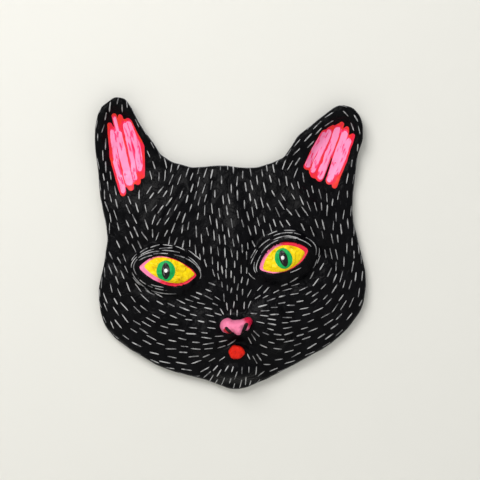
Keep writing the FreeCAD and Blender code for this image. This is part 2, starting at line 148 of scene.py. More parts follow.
def chained(links: dict) -> list[list]:
    """Closed chains through links.

    Args:
        links: each key's list of two neighbours.

    Returns:
        Lists of keys, one for each closed chain.
    """
    left = set(links)
    chains = []
    while left:
        start = min(left)
        chain, at = [], start
        while at is not None:
            chain.append(at)
            left.discard(at)
            at = next((other for other in links[at] if other in left), None)
        chains.append(chain)
    return chains


def line_length(line: Array) -> float:
    """Length of a closed line."""
    return float(np.linalg.norm(np.roll(line, -1, 0) - line, axis=1).sum())


def outward(line: Array) -> Array:
    """Unit normals of a closed anticlockwise line, pointing out of it."""
    tangent = np.roll(line, -1, 0) - np.roll(line, 1, 0)
    tangent /= np.linalg.norm(tangent, axis=1)[:, None]
    return np.column_stack([tangent[:, 1], -tangent[:, 0]])


def back_outline(node: str) -> Array:
    """The outer edge of the face that a CAD node lays on the wall plane.

    Args:
        node: the node's name.

    Returns:
        Rows of x, z round the closed outline.
    """
    points, triangles = node_points(node), node_triangles(node)
    keys = [tuple(row) for row in np.round(points, 3)]
    on_wall = (points[:, 1] > -0.01)[triangles].all(axis=1)
    count: dict = {}
    for a, b, c in triangles[on_wall]:
        for one, two in ((a, b), (b, c), (c, a)):
            edge = frozenset((keys[one], keys[two]))
            count[edge] = count.get(edge, 0) + 1
    links: dict = {}
    for edge, times in count.items():
        if times == 1 and len(edge) == 2:
            one, two = tuple(edge)
            links.setdefault(one, []).append(two)
            links.setdefault(two, []).append(one)
    lines = [np.array(chain)[:, (0, 2)] for chain in chained(links)]
    return max(lines, key=line_length)


def resampled(line: Array, spacing: float) -> Array:
    """A closed line with points at equal distances, running anticlockwise.

    Args:
        line: rows of x, z.
        spacing: wanted distance between points.

    Returns:
        Rows of x, z.
    """
    closed = np.vstack([line, line[:1]])
    along = np.concatenate(
        [[0.0], np.cumsum(np.linalg.norm(np.diff(closed, axis=0), axis=1))]
    )
    count = max(8, round(along[-1] / spacing))
    at = np.linspace(0, along[-1], count, endpoint=False)
    even = np.column_stack(
        [np.interp(at, along, closed[:, 0]), np.interp(at, along, closed[:, 1])]
    )
    x, z = even[:, 0], even[:, 1]
    area = (x * np.roll(z, -1) - np.roll(x, -1) * z).sum()
    return even if area > 0 else even[::-1]


def line_distance(line: Array, x: Array, z: Array) -> Array:
    """Signed distance to a closed line, below zero inside it.

    Args:
        line: rows of x, z.
        x: across.
        z: up.

    Returns:
        The distances, in the shape of x.
    """
    shape = x.shape
    px, pz = x.ravel(), z.ravel()
    best = np.full(px.size, 1e9)
    inside = np.zeros(px.size, bool)
    for (ax, az), (bx, bz) in zip(line, np.roll(line, -1, 0)):
        ex, ez = bx - ax, bz - az
        share = np.clip(
            ((px - ax) * ex + (pz - az) * ez) / (ex * ex + ez * ez + 1e-12), 0, 1
        )
        dx, dz = px - ax - share * ex, pz - az - share * ez
        np.minimum(best, dx * dx + dz * dz, out=best)
        if az != bz:
            crosses = ((az > pz) != (bz > pz)) & (px < ax + (pz - az) / (bz - az) * ex)
            inside ^= crosses
    return (np.where(inside, -1, 1) * np.sqrt(best)).reshape(shape)


def smooth_low(a: Array, b: Array, reach: float) -> Array:
    """The lower of two fields, with the corner between them rounded over a reach."""
    near = np.maximum(reach - np.abs(a - b), 0) / reach
    return np.minimum(a, b) - near * near * reach / 4


def smooth_high(a: Array, b: Array, reach: float) -> Array:
    """The higher of two fields, with the corner between them rounded over a reach."""
    return -smooth_low(-a, -b, reach)


def smooth_step(low: float, high: float, value: Array) -> Array:
    """0 below a low value, 1 above a high one, and an even rise between them."""
    share = np.clip((value - low) / (high - low), 0, 1)
    return share * share * (3 - 2 * share)


def turned(x: Array, z: Array, angle: float) -> Arrays:
    """How far points lie along and across a direction.

    Args:
        x: across, from where the direction starts.
        z: up, from there.
        angle: the direction, in radians.

    Returns:
        The lengths along it and across it.
    """
    cos, sin = math.cos(angle), math.sin(angle)
    return x * cos + z * sin, z * cos - x * sin


def groove(away: Array, depth: float, width: float) -> Array:
    """Depth of a soft groove, by the distance from its line."""
    return depth * np.exp(-((away / width) ** 2))


def noise_field(x: Array, z: Array, scale: float, seed: float) -> Array:
    """Smooth noise over the plane.

    Args:
        x: across.
        z: up.
        scale: size of its patches.
        seed: which noise.

    Returns:
        Values from about -1 to 1, in the shape of x.
    """
    values = [
        noise.noise(Vector((u / scale, v / scale, seed)))
        for u, v in zip(x.ravel(), z.ravel())
    ]
    return np.array(values).reshape(x.shape)


@dataclass(frozen=True)
class Grid:
    """A square grid of points on the wall plane."""

    left: float
    bottom: float
    step: float
    columns: int
    rows: int

    @classmethod
    def over(cls, line: Array, margin: float, step: float) -> "Grid":
        """The grid that covers a line and a margin round it."""
        low, high = line.min(0) - margin, line.max(0) + margin
        columns, rows = np.ceil((high - low) / step).astype(int) + 1
        return cls(float(low[0]), float(low[1]), step, int(columns), int(rows))

    def points(self) -> Arrays:
        """The x and the z of every point of the grid."""
        x = self.left + self.step * np.arange(self.columns)
        z = self.bottom + self.step * np.arange(self.rows)
        return np.meshgrid(x, z)

    def sample(self, values: Array, x: Array, z: Array) -> Array:
        """A field of the grid at any points.

        Args:
            values: the field.
            x: across.
            z: up.

        Returns:
            Values between the grid's own.
        """
        u = np.clip((x - self.left) / self.step, 0, self.columns - 1.001)
        v = np.clip((z - self.bottom) / self.step, 0, self.rows - 1.001)
        i, j = u.astype(int), v.astype(int)
        s, t = u - i, v - j
        low = values[j, i] * (1 - s) + values[j, i + 1] * s
        high = values[j + 1, i] * (1 - s) + values[j + 1, i + 1] * s
        return low * (1 - t) + high * t

    def zero_lines(self, values: Array) -> list[Array]:
        """Closed lines where a field crosses zero, the longest first.

        Args:
            values: the field, below zero inside.

        Returns:
            A list of arrays of x, z rows.
        """
        inside = values < 0
        mixed = (
            inside[:-1, :-1].astype(int)
            + inside[1:, :-1]
            + inside[:-1, 1:]
            + inside[1:, 1:]
        )
        place: dict = {}
        links: dict = {}
        for j, i in zip(*np.nonzero((mixed > 0) & (mixed < 4))):
            corners = [(j, i), (j, i + 1), (j + 1, i + 1), (j + 1, i)]
            crossed = []
            for one, two in zip(corners, corners[1:] + corners[:1]):
                if inside[one] == inside[two]:
                    continue
                key = (min(one, two), max(one, two))
                share = values[key[0]] / (values[key[0]] - values[key[1]])
                row = key[0][0] + share * (key[1][0] - key[0][0])
                column = key[0][1] + share * (key[1][1] - key[0][1])
                place[key] = (
                    self.left + column * self.step,
                    self.bottom + row * self.step,
                )
                crossed.append(key)
            for one, two in zip(crossed[::2], crossed[1::2]):
                links.setdefault(one, []).append(two)
                links.setdefault(two, []).append(one)
        lines = [np.array([place[key] for key in chain]) for chain in chained(links)]
        return sorted(lines, key=line_length, reverse=True)


def blurred(values: Array, reach: float) -> Array:
    """A field blurred evenly.

    Args:
        values: the field.
        reach: the blur's standard deviation, in grid steps.

    Returns:
        The blurred field.
    """
    radius = int(3 * reach) + 1
    taps = np.exp(-0.5 * (np.arange(-radius, radius + 1) / reach) ** 2)
    taps /= taps.sum()
    for axis in (0, 1):
        pad = [(radius, radius) if side == axis else (0, 0) for side in (0, 1)]
        wide = np.pad(values, pad, mode="edge")
        length = values.shape[axis]
        values = sum(
            tap * np.take(wide, range(k, k + length), axis=axis)
            for k, tap in enumerate(taps)
        )
    return values


@dataclass(frozen=True)
class Lump:
    """Where CAD nodes stand, seen from the front: the tightest slanted box round them."""

    x: float
    z: float
    long: float
    short: float
    slant: float
    front: float

    @classmethod
    def of(cls, *nodes: str) -> "Lump":
        """Measures nodes.

        Args:
            nodes: their names.

        Returns:
            Half sizes along and across, the long side's slant and the height of the front.
        """
        points = np.vstack([node_points(node) for node in nodes])
        flat = points[:, (0, 2)]
        best = None
        for degrees in range(-90, 90):
            turn = math.radians(degrees)
            along = flat @ (math.cos(turn), math.sin(turn))
            across = flat @ (-math.sin(turn), math.cos(turn))
            half_a, half_b = np.ptp(along) / 2, np.ptp(across) / 2
            if half_a >= half_b and (best is None or half_a * half_b < best[0]):
                a, b = along.min() + half_a, across.min() + half_b
                best = (half_a * half_b, a, b, half_a, half_b, turn)
        _, a, b, half_a, half_b, turn = best
        x = a * math.cos(turn) - b * math.sin(turn)
        z = a * math.sin(turn) + b * math.cos(turn)
        return cls(x, z, half_a, half_b, turn, float(-points[:, 1].min()))

    def local(self, x: Array, z: Array) -> Arrays:
        """Points seen along and across this lump, from its middle."""
        return turned(x - self.x, z - self.z, self.slant)

    def world(self, a: Array, b: Array) -> Arrays:
        """The x and z of points given along and across this lump."""
        cos, sin = math.cos(self.slant), math.sin(self.slant)
        return self.x + a * cos - b * sin, self.z + a * sin + b * cos

    def pad(self, x: Array, z: Array, under: float, sink: float) -> Array:
        """Height of a rounded pad of this lump's size.

        Args:
            x: across.
            z: up.
            under: height of what it sits on, at its middle.
            sink: how far under that its own edge lies.

        Returns:
            Heights, which go on falling outside the pad.
        """
        a, b = self.local(x, z)
        ratio = np.hypot(a / self.long, b / self.short)
        return self.front - (self.front - under + sink) * ratio**2


def lens_distance(
    lump: Lump, x: Array, z: Array, skew: float = 0.0, bow: float = 0.0
) -> Array:
    """Signed distance to the almond between two arcs through a lump's ends and sides.

    Args:
        lump: the almond's place and half sizes.
        x: across.
        z: up.
        skew: how far the upper arc leans back and the lower one forward, for its height.
        bow: how far the middle stands above the line through the ends.

    Returns:
        Distances, below zero inside.
    """
    a, b = lump.local(x, z)
    b = b - bow * np.clip(1 - (a / lump.long) ** 2, -0.5, 1)
    a = a + skew * b * np.clip(1 - (a / (1.1 * lump.long)) ** 2, 0, 1)
    radius = (lump.long**2 + lump.short**2) / (2 * lump.short)
    over = np.hypot(a, b + radius - lump.short) - radius
    under = np.hypot(a, b - radius + lump.short) - radius
    return smooth_high(over, under, 1.5)


def oval_distance(x: Array, z: Array, middle: Pair, half: Pair, slant: float) -> Array:
    """Signed distance, near enough, to a slanted oval.

    Args:
        x: across.
        z: up.
        middle: its centre.
        half: half its width and height before the slant.
        slant: its turn in radians.

    Returns:
        Distances, below zero inside.
    """
    a, b = turned(x - middle[0], z - middle[1], slant)
    ratio = np.hypot(a / half[0], b / half[1])
    return (ratio - 1) * min(half) * 0.5 + (ratio - 1) * max(half) * 0.5


def stroke_distance(x: Array, z: Array, start: Pair, end: Pair, half_width: float) -> Array:
    """Signed distance to a round-ended stroke between two points."""
    ex, ez = end[0] - start[0], end[1] - start[1]
    share = np.clip(
        ((x - start[0]) * ex + (z - start[1]) * ez) / (ex * ex + ez * ez), 0, 1
    )
    return np.hypot(x - start[0] - share * ex, z - start[1] - share * ez) - half_width


# ------------------------------------------------------------------ meshes


@dataclass(frozen=True)
class Ring:
    """One line of points round a moulding: how far in from the outline, and how high between
    the foot (0) and the top (1)."""

    inset: float
    share: float


def rounded_rings(rounding: float, steps: int) -> list[Ring]:
    """The rings of a rounded edge, from the foot up to the top."""
    turns = [math.pi / 2 * k / steps for k in range(steps + 1)]
    return [Ring(rounding * (1 - math.cos(turn)), math.sin(turn)) for turn in turns]


@dataclass
class Mesher:
    """Collects vertices in millimetres and faces, and makes one object of them."""

    vertices: list[tuple[float, float, float]] = field(default_factory=list)
    faces: list[tuple[int, ...]] = field(default_factory=list)

    def add(self, rows: Array) -> int:
        """Adds vertices and gives the number of the first."""
        first = len(self.vertices)
        self.vertices.extend(map(tuple, rows))
        return first

    def strip(self, one: int, two: int, count: int, closed: bool) -> None:
        """Joins two rows of vertices with quads.

        Args:
            one: the first row's first vertex.
            two: the second row's first vertex.
            count: vertices in each row.
            closed: True if the rows run round.
        """
        for k in range(count if closed else count - 1):
            n = (k + 1) % count
            self.faces.append((one + k, one + n, two + n, two + k))

    def object(self, name: str, weld: float = 0.0) -> bpy.types.Object:
        """Makes the object.

        Args:
            name: its name.
            weld: distance within which vertices are joined, or 0.

        Returns:
            The object, shaded smooth.
        """
        mesh = bpy.data.meshes.new(name)
        mesh.from_pydata((np.array(self.vertices) * MM).tolist(), [], self.faces)
        if weld:
            work = bmesh.new()
            work.from_mesh(mesh)
            bmesh.ops.remove_doubles(work, verts=work.verts, dist=weld * MM)
            work.to_mesh(mesh)
            work.free()
        mesh.polygons.foreach_set("use_smooth", [True] * len(mesh.polygons))
        mesh.update()
        made = bpy.data.objects.new(name, mesh)
        bpy.context.scene.collection.objects.link(made)
        return made


@dataclass(frozen=True)
class Moulding:
    """A sheet with a given outline, top and edge.

    Its outline is where the distance is zero. Backwards is for a sheet seen from behind.
    """

    distance: Height
    top: Height
    foot: Height
    rings: Sequence[Ring]
    spacing: float = 1.3
    backwards: bool = False

    def lines(self, grid: Grid) -> list[Array]:
        """The outlines that the distance has on a grid, evenly spaced and smoothed."""
        found = grid.zero_lines(self.distance(*grid.points()))
        lines = []
        for line in found:
            if line_length(line) < 4 * self.spacing:
                continue
            even = resampled(line, self.spacing)
            for _ in range(3):
                even = (np.roll(even, 1, 0) + 2 * even + np.roll(even, -1, 0)) / 4
            lines.append(even)
        return lines

    def build(self, name: str, grid: Grid, filled: bool = True) -> bpy.types.Object:
        """Builds the sheet.

        Args:
            name: its object's name.
            grid: a grid that covers it.
            filled: False leaves the inside of the last ring open.

        Returns:
            The object.
        """
        mesher = Mesher()
        for line in self.lines(grid):
            normal, before = outward(line), None
            for ring in self.rings:
                x, z = (line - normal * ring.inset).T
                top, foot = self.top(x, z), self.foot(x, z)
                high = foot + (top - foot) * ring.share
                row = mesher.add(np.column_stack([x, -high, z]))
                if before is not None:
                    one, two = (row, before) if self.backwards else (before, row)
                    mesher.strip(one, two, len(line), True)
                before = row
            if filled:
                self.fill(mesher, np.column_stack([x, z]))
        return mesher.object(name, weld=0.002)

    def fill(self, mesher: Mesher, edge: Array) -> None:
        """Fills the inside of a closed line with triangles.

        Args:
            mesher: takes the triangles.
            edge: rows of x, z, anticlockwise.
        """
        grid = Grid.over(edge, 0.0, self.spacing)
        x, z = grid.points()
        x = x + self.spacing / 2 * (np.arange(grid.rows) % 2)[:, None]
        # every other point of a long edge is near enough to tell what lies inside it
        apart = line_distance(edge[::2] if len(edge) > 400 else edge, x, z)
        keep = apart < -0.6 * self.spacing
        points = np.vstack([edge, np.column_stack([x[keep], z[keep]])])
        flat = [Vector(point) for point in points]
        loop = [list(range(len(edge)))]
        made, _, faces, *_ = delaunay_2d_cdt(flat, [], loop, 1, 1e-6)
        x, z = np.array([tuple(point) for point in made]).T
        first = mesher.add(np.column_stack([x, -self.top(x, z), z]))
        for face in faces:
            a, b, c = (made[k] for k in face[:3])
            turn = (b - a).cross(c - a)
            anticlockwise = (turn > 0) != self.backwards
            order = face if anticlockwise else face[::-1]
            mesher.faces.append(tuple(first + k for k in order))


# ------------------------------------------------------------------ finishes


class Bench:
    """Adds and joins nodes of one node tree."""

    def __init__(self, tree: bpy.types.NodeTree) -> None:
        """Takes the tree to work on."""
        self.tree = tree

    def feed(self, node: bpy.types.Node, sockets: dict) -> None:
        """Gives inputs of a node their values or their links.

        Args:
            node: the node.
            sockets: input name or number to a value or to another node's output.
        """
        for name, value in sockets.items():
            if isinstance(value, Socket):
                self.tree.links.new(value, node.inputs[name])
            else:
                node.inputs[name].default_value = value

    def add(self, kind: str, sockets: dict | None = None, **settings) -> bpy.types.Node:
        """Adds a node.

        Args:
            kind: its type, such as ShaderNodeMath.
            sockets: input name or number to a value or to another node's output.
            settings: the node's own settings.

        Returns:
            The node.
        """
        node = self.tree.nodes.new(kind)
        for name, value in settings.items():
            setattr(node, name, value)
        self.feed(node, sockets or {})
        return node

    def place(self) -> Socket:
        """The place of a point on its object."""
        return self.add("ShaderNodeTexCoord").outputs["Object"]

    def clouds(
        self, where: Socket, scale: object, detail: float, warp: float = 0.0
    ) -> bpy.types.Node:
        """Soft noise of a scale over places."""
        sockets = {"Vector": where, "Scale": scale, "Detail": detail, "Distortion": warp}
        return self.add("ShaderNodeTexNoise", sockets)

    def math(self, how: str, *values: object) -> Socket:
        """A sum of two or three values."""
        return self.add("ShaderNodeMath", dict(enumerate(values)), operation=how).outputs[0]

    def mapped(
        self, value: object, low: float, high: float, to_low: float, to_high: float
    ) -> Socket:
        """A value brought from one range to another, and held inside it."""
        sockets = {0: value, 1: low, 2: high, 3: to_low, 4: to_high}
        return self.add("ShaderNodeMapRange", sockets, clamp=True).outputs[0]

    def blend(self, share: object, one: object, two: object) -> Socket:
        """A colour between two."""
        sockets = {0: share, 6: one, 7: two}
        return self.add("ShaderNodeMix", sockets, data_type="RGBA").outputs[2]

    def bump(self, relief: float, height: Socket) -> Socket:
        """A normal from a height, given how many millimetres a height of 1 stands for."""
        sockets = {"Strength": 1.0, "Distance": relief * MM, "Height": height}
        return self.add("ShaderNodeBump", sockets).outputs[0]


def rgba(colour: Colour) -> tuple[float, float, float, float]:
    """A colour with its alpha."""
    return (*colour, 1.0)


def effect(
    name: str, inputs: dict[str, float], outputs: Sequence[str]
) -> tuple[bpy.types.NodeTree, Bench, bpy.types.Node, bpy.types.Node]:
    """Starts a node group of floats.

    Args:
        name: its name.
        inputs: the inputs' names and values.
        outputs: the outputs' names.

    Returns:
        The group, a bench on it, and its input and output nodes.
    """
    group = bpy.data.node_groups.new(name, "ShaderNodeTree")
    for socket, value in inputs.items():
        made = group.interface.new_socket(
            socket, in_out="INPUT", socket_type="NodeSocketFloat"
        )
        made.default_value = value
    for socket in outputs:
        group.interface.new_socket(
            socket, in_out="OUTPUT", socket_type="NodeSocketFloat"
        )
    bench = Bench(group)
    return group, bench, bench.add("NodeGroupInput"), bench.add("NodeGroupOutput")


def paper_relief() -> bpy.types.NodeTree:
    """The shared effect of pasted paper: soft folds, creases and fibres as one height."""
    found = bpy.data.node_groups.get("Paper relief")
    if found:
        return found
    group, bench, given, out = effect(
        "Paper relief",
        {"Fold scale": 90.0, "Fibre scale": 900.0, "Creases": 0.5, "Fibres": 0.3},
        ["Height"],
    )
    where = bench.place()
    folds = bench.clouds(where, given.outputs["Fold scale"], 3.0, 0.8).outputs[0]
    ridge = bench.math("ABSOLUTE", bench.math("SUBTRACT", folds, 0.5))
    crease = bench.mapped(ridge, 0.0, 0.06, 1.0, 0.0)
    fibre = bench.clouds(where, given.outputs["Fibre scale"], 2.0).outputs[0]
    height = bench.math("MULTIPLY_ADD", crease, given.outputs["Creases"], folds)
    height = bench.math("MULTIPLY_ADD", fibre, given.outputs["Fibres"], height)
    bench.feed(out, {"Height": height})
    return group


def brush_tone() -> bpy.types.NodeTree:
    """The shared effect of brushed paint: long streaks across a broken ground, as one mask."""
    found = bpy.data.node_groups.get("Brush tone")
    if found:
        return found
    group, bench, given, out = effect(
        "Brush tone",
        {"Across": 700.0, "Along": 60.0, "Lean": 0.0, "Low": 0.4, "High": 0.6},
        ["Tone"],
    )
    turn = bench.add(
        "ShaderNodeVectorRotate",
        {"Vector": bench.place(), "Angle": given.outputs["Lean"]},
        rotation_type="Y_AXIS",
    ).outputs[0]
    stretch = bench.add(
        "ShaderNodeCombineXYZ",
        {"X": given.outputs["Across"], "Y": given.outputs["Across"],
         "Z": given.outputs["Along"]},
    ).outputs[0]
    scaled = bench.add(
        "ShaderNodeVectorMath", {0: turn, 1: stretch}, operation="MULTIPLY"
    ).outputs[0]
    streaks = bench.clouds(scaled, 1.0, 4.0).outputs[0]
    tone = bench.add(
        "ShaderNodeMapRange",
        {0: streaks, 1: given.outputs["Low"], 2: given.outputs["High"]},
        interpolation_type="SMOOTHSTEP",
    ).outputs[0]
    bench.feed(out, {"Tone": tone})
    return group


@dataclass(frozen=True)
class Finish:
    """What a piece is covered with. Each kind of finish joins its own nodes."""

    name: str

    def material(self) -> bpy.types.Material:
        """The finish as a material, made once."""
        made = bpy.data.materials.get(self.name)
        if made is None:
            made = bpy.data.materials.new(self.name)
            made.use_nodes = True
            self.join(Bench(made.node_tree), made.node_tree.nodes["Principled BSDF"])
        return made

    def join(self, bench: Bench, shader: bpy.types.Node) -> None:
        """Joins the finish's nodes to its shader."""
        raise NotImplementedError


@dataclass(frozen=True)
class Paint(Finish):
    """Paint on paper: a colour, a second one that shows through in streaks, and the relief.

    Across and along are how fine the streaks are each way, lean is their slant in degrees and
    show says how much of the second colour comes through.
    """

    colour: Colour
    second: Colour
    gloss: Pair = (0.35, 0.55)
    across: float = 700.0
    along: float = 60.0
    lean: float = 0.0
    show: Pair = (0.5, 0.7)
    relief: float = 0.25
    fold_scale: float = 90.0
    creases: float = 0.5
    fibres: float = 0.3
    specular: float = 0.25

    def join(self, bench: Bench, shader: bpy.types.Node) -> None:
        """Joins the streaks, the two colours and the paper's relief to the shader."""
        streaks = {
            "Across": self.across,
            "Along": self.along,
            "Lean": math.radians(self.lean),
            "Low": self.show[0],
            "High": self.show[1],
        }
        brushed = bench.add("ShaderNodeGroup", streaks, node_tree=brush_tone())
        tone = brushed.outputs["Tone"]
        folds = {
            "Fold scale": self.fold_scale, "Creases": self.creases, "Fibres": self.fibres
        }
        paper = bench.add("ShaderNodeGroup", folds, node_tree=paper_relief())
        bench.feed(
            shader,
            {
                "Base Color": self.tint(bench, tone),
                "Roughness": bench.mapped(tone, 0.0, 1.0, *self.gloss),
                "Normal": bench.bump(self.relief, paper.outputs["Height"]),
                "Specular IOR Level": self.specular,
            },
        )

    def tint(self, bench: Bench, tone: Socket) -> Socket:
        """The paint's colour, with its second one in the streaks."""
        return bench.blend(tone, rgba(self.colour), rgba(self.second))


@dataclass(frozen=True)
class SplitPaint(Paint):
    """Paint that changes to its second colour past a slanted line, as from a loaded brush.

    Toward is the way of the change, line how far that way it lies, softness half its width.
    """

    toward: Colour = (1.0, 0.0, 0.0)
    line: float = 0.0
    softness: float = 3.0
    ragged: float = 4.0

    def tint(self, bench: Bench, tone: Socket) -> Socket:
        """The first colour before the line and the second past it."""
        where = bench.place()
        reach = bench.add(
            "ShaderNodeVectorMath", {0: where, 1: self.toward}, operation="DOT_PRODUCT"
        ).outputs["Value"]
        noise_here = bench.clouds(where, 350.0, 3.0).outputs[0]
        shift = bench.math("MULTIPLY_ADD", noise_here, self.ragged * MM, reach)
        middle = self.line + self.ragged / 2
        low, high = (middle - self.softness) * MM, (middle + self.softness) * MM
        share = bench.mapped(shift, low, high, 0.0, 1.0)
        return bench.blend(share, rgba(self.colour), rgba(self.second))


@dataclass(frozen=True)
class TornPaper(Finish):
    """Bare brown paper, pasted on in torn pieces that overlap.

    The pieces are of the first two colours, stains and fibres of the third; the size of a
    piece and the relief are in millimetres.
    """

    colours: tuple[Colour, Colour, Colour]
    piece: float = 34.0
    relief: float = 0.5

    def join(self, bench: Bench, shader: bpy.types.Node) -> None:
        """Joins the torn pieces, the stains and the fibres to the shader."""
        where, (first, second, stain) = bench.place(), map(rgba, self.colours)
        torn = bench.add(
            "ShaderNodeVectorMath",
            {0: bench.clouds(where, 160.0, 5.0).outputs["Color"],
             1: (0.012, 0.012, 0.012), 2: where},
            operation="MULTIPLY_ADD",
        ).outputs[0]
        pieces = bench.add(
            "ShaderNodeTexVoronoi",
            {"Vector": torn, "Scale": 1 / (self.piece * MM)},
            distance="CHEBYCHEV",
        )
        tone = bench.add("ShaderNodeSeparateColor", {0: pieces.outputs["Color"]}).outputs[0]
        colour = bench.blend(tone, first, second)
        spread = bench.clouds(where, 22.0, 3.0).outputs[0]
        colour = bench.blend(bench.mapped(spread, 0.5, 0.75, 0.0, 0.5), colour, stain)
        fibres = {"Across": 1600.0, "Along": 240.0, "Lean": 0.6}
        brushed = bench.add("ShaderNodeGroup", fibres, node_tree=brush_tone())
        faint = bench.math("MULTIPLY", brushed.outputs["Tone"], 0.25)
        paper = bench.add("ShaderNodeGroup", {"Fibres": 0.6}, node_tree=paper_relief())
        bench.feed(
            shader,
            {
                "Base Color": bench.blend(faint, colour, stain),
                "Roughness": 0.85,
                "Normal": bench.bump(self.relief, paper.outputs["Height"]),
            },
        )


@dataclass(frozen=True)
class Plain(Finish):
    """Metal or cloth in one colour, with a fine grain."""

    colour: Colour
    roughness: float
    metal: float = 0.0
    grain: float = 1500.0
    relief: float = 0.05

    def join(self, bench: Bench, shader: bpy.types.Node) -> None:
        """Joins the grain to the shader."""
        fine = {"Across": self.grain, "Along": self.grain}
        grain = bench.add("ShaderNodeGroup", fine, node_tree=brush_tone()).outputs["Tone"]
        darker = tuple(0.7 * part for part in self.colour)
        bench.feed(
            shader,
            {
                "Base Color": bench.blend(grain, rgba(self.colour), rgba(darker)),
                "Metallic": self.metal,
                "Roughness": self.roughness,
                "Normal": bench.bump(self.relief, grain),
            },
        )


BLACK = Paint(
    "Black acrylic", (0.0012, 0.0012, 0.0018), (0.0034, 0.0034, 0.0044), (0.3, 0.37),
    across=150.0, along=110.0, show=(0.35, 0.75), relief=1.6, fold_scale=110.0,
    creases=0.12, fibres=0.12, specular=0.065,
)
GREY = Paint(
    "Grey hair paint", (0.43, 0.43, 0.435), (0.13, 0.13, 0.135), (0.5, 0.7),
    across=150.0, along=150.0, show=(0.4, 0.66), relief=0.06, specular=0.15,
)
EAR_RED = Paint(
    "Red ear ground", (0.83, 0.03, 0.016), (0.8, 0.012, 0.05), (0.4, 0.55), across=260.0,
    along=60.0, show=(0.45, 0.6), relief=0.12,
)
EAR_HOT = Paint(
    "Hot pink ear stroke", (0.93, 0.012, 0.1), (0.95, 0.09, 0.27), (0.4, 0.55),
    across=900.0, along=120.0, show=(0.48, 0.62), relief=0.12,
)
EAR_PINK = Paint(
    "Pink ear stroke", (0.95, 0.29, 0.53), (0.93, 0.04, 0.18), (0.38, 0.5),
    across=430.0, along=80.0, show=(0.54, 0.64), relief=0.14,
)
YELLOW = Paint(
    "Yellow eye", (0.95, 0.69, 0.0), (0.68, 0.35, 0.0), (0.3, 0.4), across=260.0,
    along=150.0, lean=60.0, show=(0.52, 0.8), relief=2.4, fold_scale=75.0, creases=0.3,
    fibres=0.12, specular=0.2,
)
GREEN = Paint(
    "Green iris", (0.002, 0.4, 0.085), (0.0, 0.25, 0.045), (0.3, 0.4), across=500.0,
    along=200.0, show=(0.5, 0.7), relief=0.25, fold_scale=260.0, specular=0.2,
)
PUPIL = Paint(
    "Black pupil", (0.003, 0.003, 0.004), (0.008, 0.008, 0.008), (0.25, 0.35), relief=0.1
)
WHITE = Paint(
    "White eye dot", (0.88, 0.88, 0.86), (0.75, 0.75, 0.75), (0.35, 0.4), relief=0.05
)
# painted reflection: a grey that stands for the glint of light on the glossy black pupil
GLINT = Paint(
    "Grey eye glint", (0.2, 0.2, 0.2), (0.06, 0.06, 0.06), (0.4, 0.5), relief=0.05
)
NOSTRIL = Paint(
    "Dark nostril", (0.006, 0.003, 0.004), (0.08, 0.003, 0.006), (0.4, 0.5), across=500.0,
    along=300.0, show=(0.55, 0.7), relief=0.1,
)
TONGUE = Paint(
    "Red tongue", (0.74, 0.016, 0.006), (0.5, 0.008, 0.004), (0.34, 0.46), across=420.0,
    along=300.0, show=(0.5, 0.75), relief=0.5, fold_scale=220.0, specular=0.12,
)
KRAFT = TornPaper(
    "Bare brown paper", ((0.42, 0.27, 0.145), (0.31, 0.19, 0.1), (0.2, 0.115, 0.06))
)
BAND = TornPaper(
    "Folded band", ((0.47, 0.33, 0.2), (0.38, 0.25, 0.14), (0.24, 0.15, 0.08)), 22.0, 0.3
)
STEEL = Plain("Zinc plated wire", (0.55, 0.55, 0.56), 0.32, metal=1.0, relief=0.02)
TAPE = Plain("Cotton tape", (0.6, 0.53, 0.41), 0.9, grain=1400.0, relief=0.25)


def settle(
    piece: bpy.types.Object,
    finish: Finish,
    slot: Slot,
    nodes: Iterable[str] = (),
    body: Body = Body.MASK,
) -> bpy.types.Object:
    """Gives a piece its finish and its body, and hides the CAD nodes that it stands for.

    Args:
        piece: the object.
        finish: what it is covered with.
        slot: the record's slot for it; not used.
        nodes: CAD nodes that it stands for.
        body: the body that it rides on.

    Returns:
        The same object.
    """
    piece.data.materials.clear()
    piece.data.materials.append(finish.material())
    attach(piece, body.value)
    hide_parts(*nodes)
    log.info("%s: %d faces, %s", piece.name, len(piece.data.polygons), finish.name)
    return piece


# ------------------------------------------------------------------ the black skin


@dataclass(frozen=True)
class PastedPieces:
    """Torn pieces of paper pasted over each other, as a relief."""

    seed: int
    count: int = 90
    long: Pair = (22.0, 44.0)
    short: Pair = (14.0, 24.0)
    step: float = 0.75

    def relief(self, grid: Grid) -> Array:
        """How far the paper's face stands out, point by point of a grid."""
        x, z = grid.points()
        ragged = 1.6 * noise_field(x, z, 6.0, float(self.seed))
        wide, high = grid.step * grid.columns, grid.step * grid.rows
        dice = random.Random(self.seed)
        out = np.zeros_like(x)
        for _ in range(self.count):
            place = grid.left + dice.random() * wide, grid.bottom + dice.random() * high
            turn = dice.uniform(0, math.pi)
            half = dice.uniform(*self.long), dice.uniform(*self.short)
            level = dice.uniform(0.2, 1.0) * self.step
            along, across = turned(x - place[0], z - place[1], turn)
            outside = np.maximum(np.abs(along) - half[0], np.abs(across) - half[1])
            inside = smooth_step(0.7, -0.7, outside + ragged)
            out = out * (1 - inside) + level * inside
        return out


@dataclass(frozen=True)
class Crease:
    """A groove pressed into the skin between two points, given from a lump's middle."""

    start: Pair
    end: Pair
    depth: float
    width: float

    def cut(self, x: Array, z: Array, lump: Lump) -> Array:
        """How deep the groove is, point by point."""
        start = (lump.x + self.start[0], lump.z + self.start[1])
        end = (lump.x + self.end[0], lump.z + self.end[1])
        away = np.maximum(stroke_distance(x, z, start, end, 0.0), 0)
        return groove(away, self.depth, self.width)


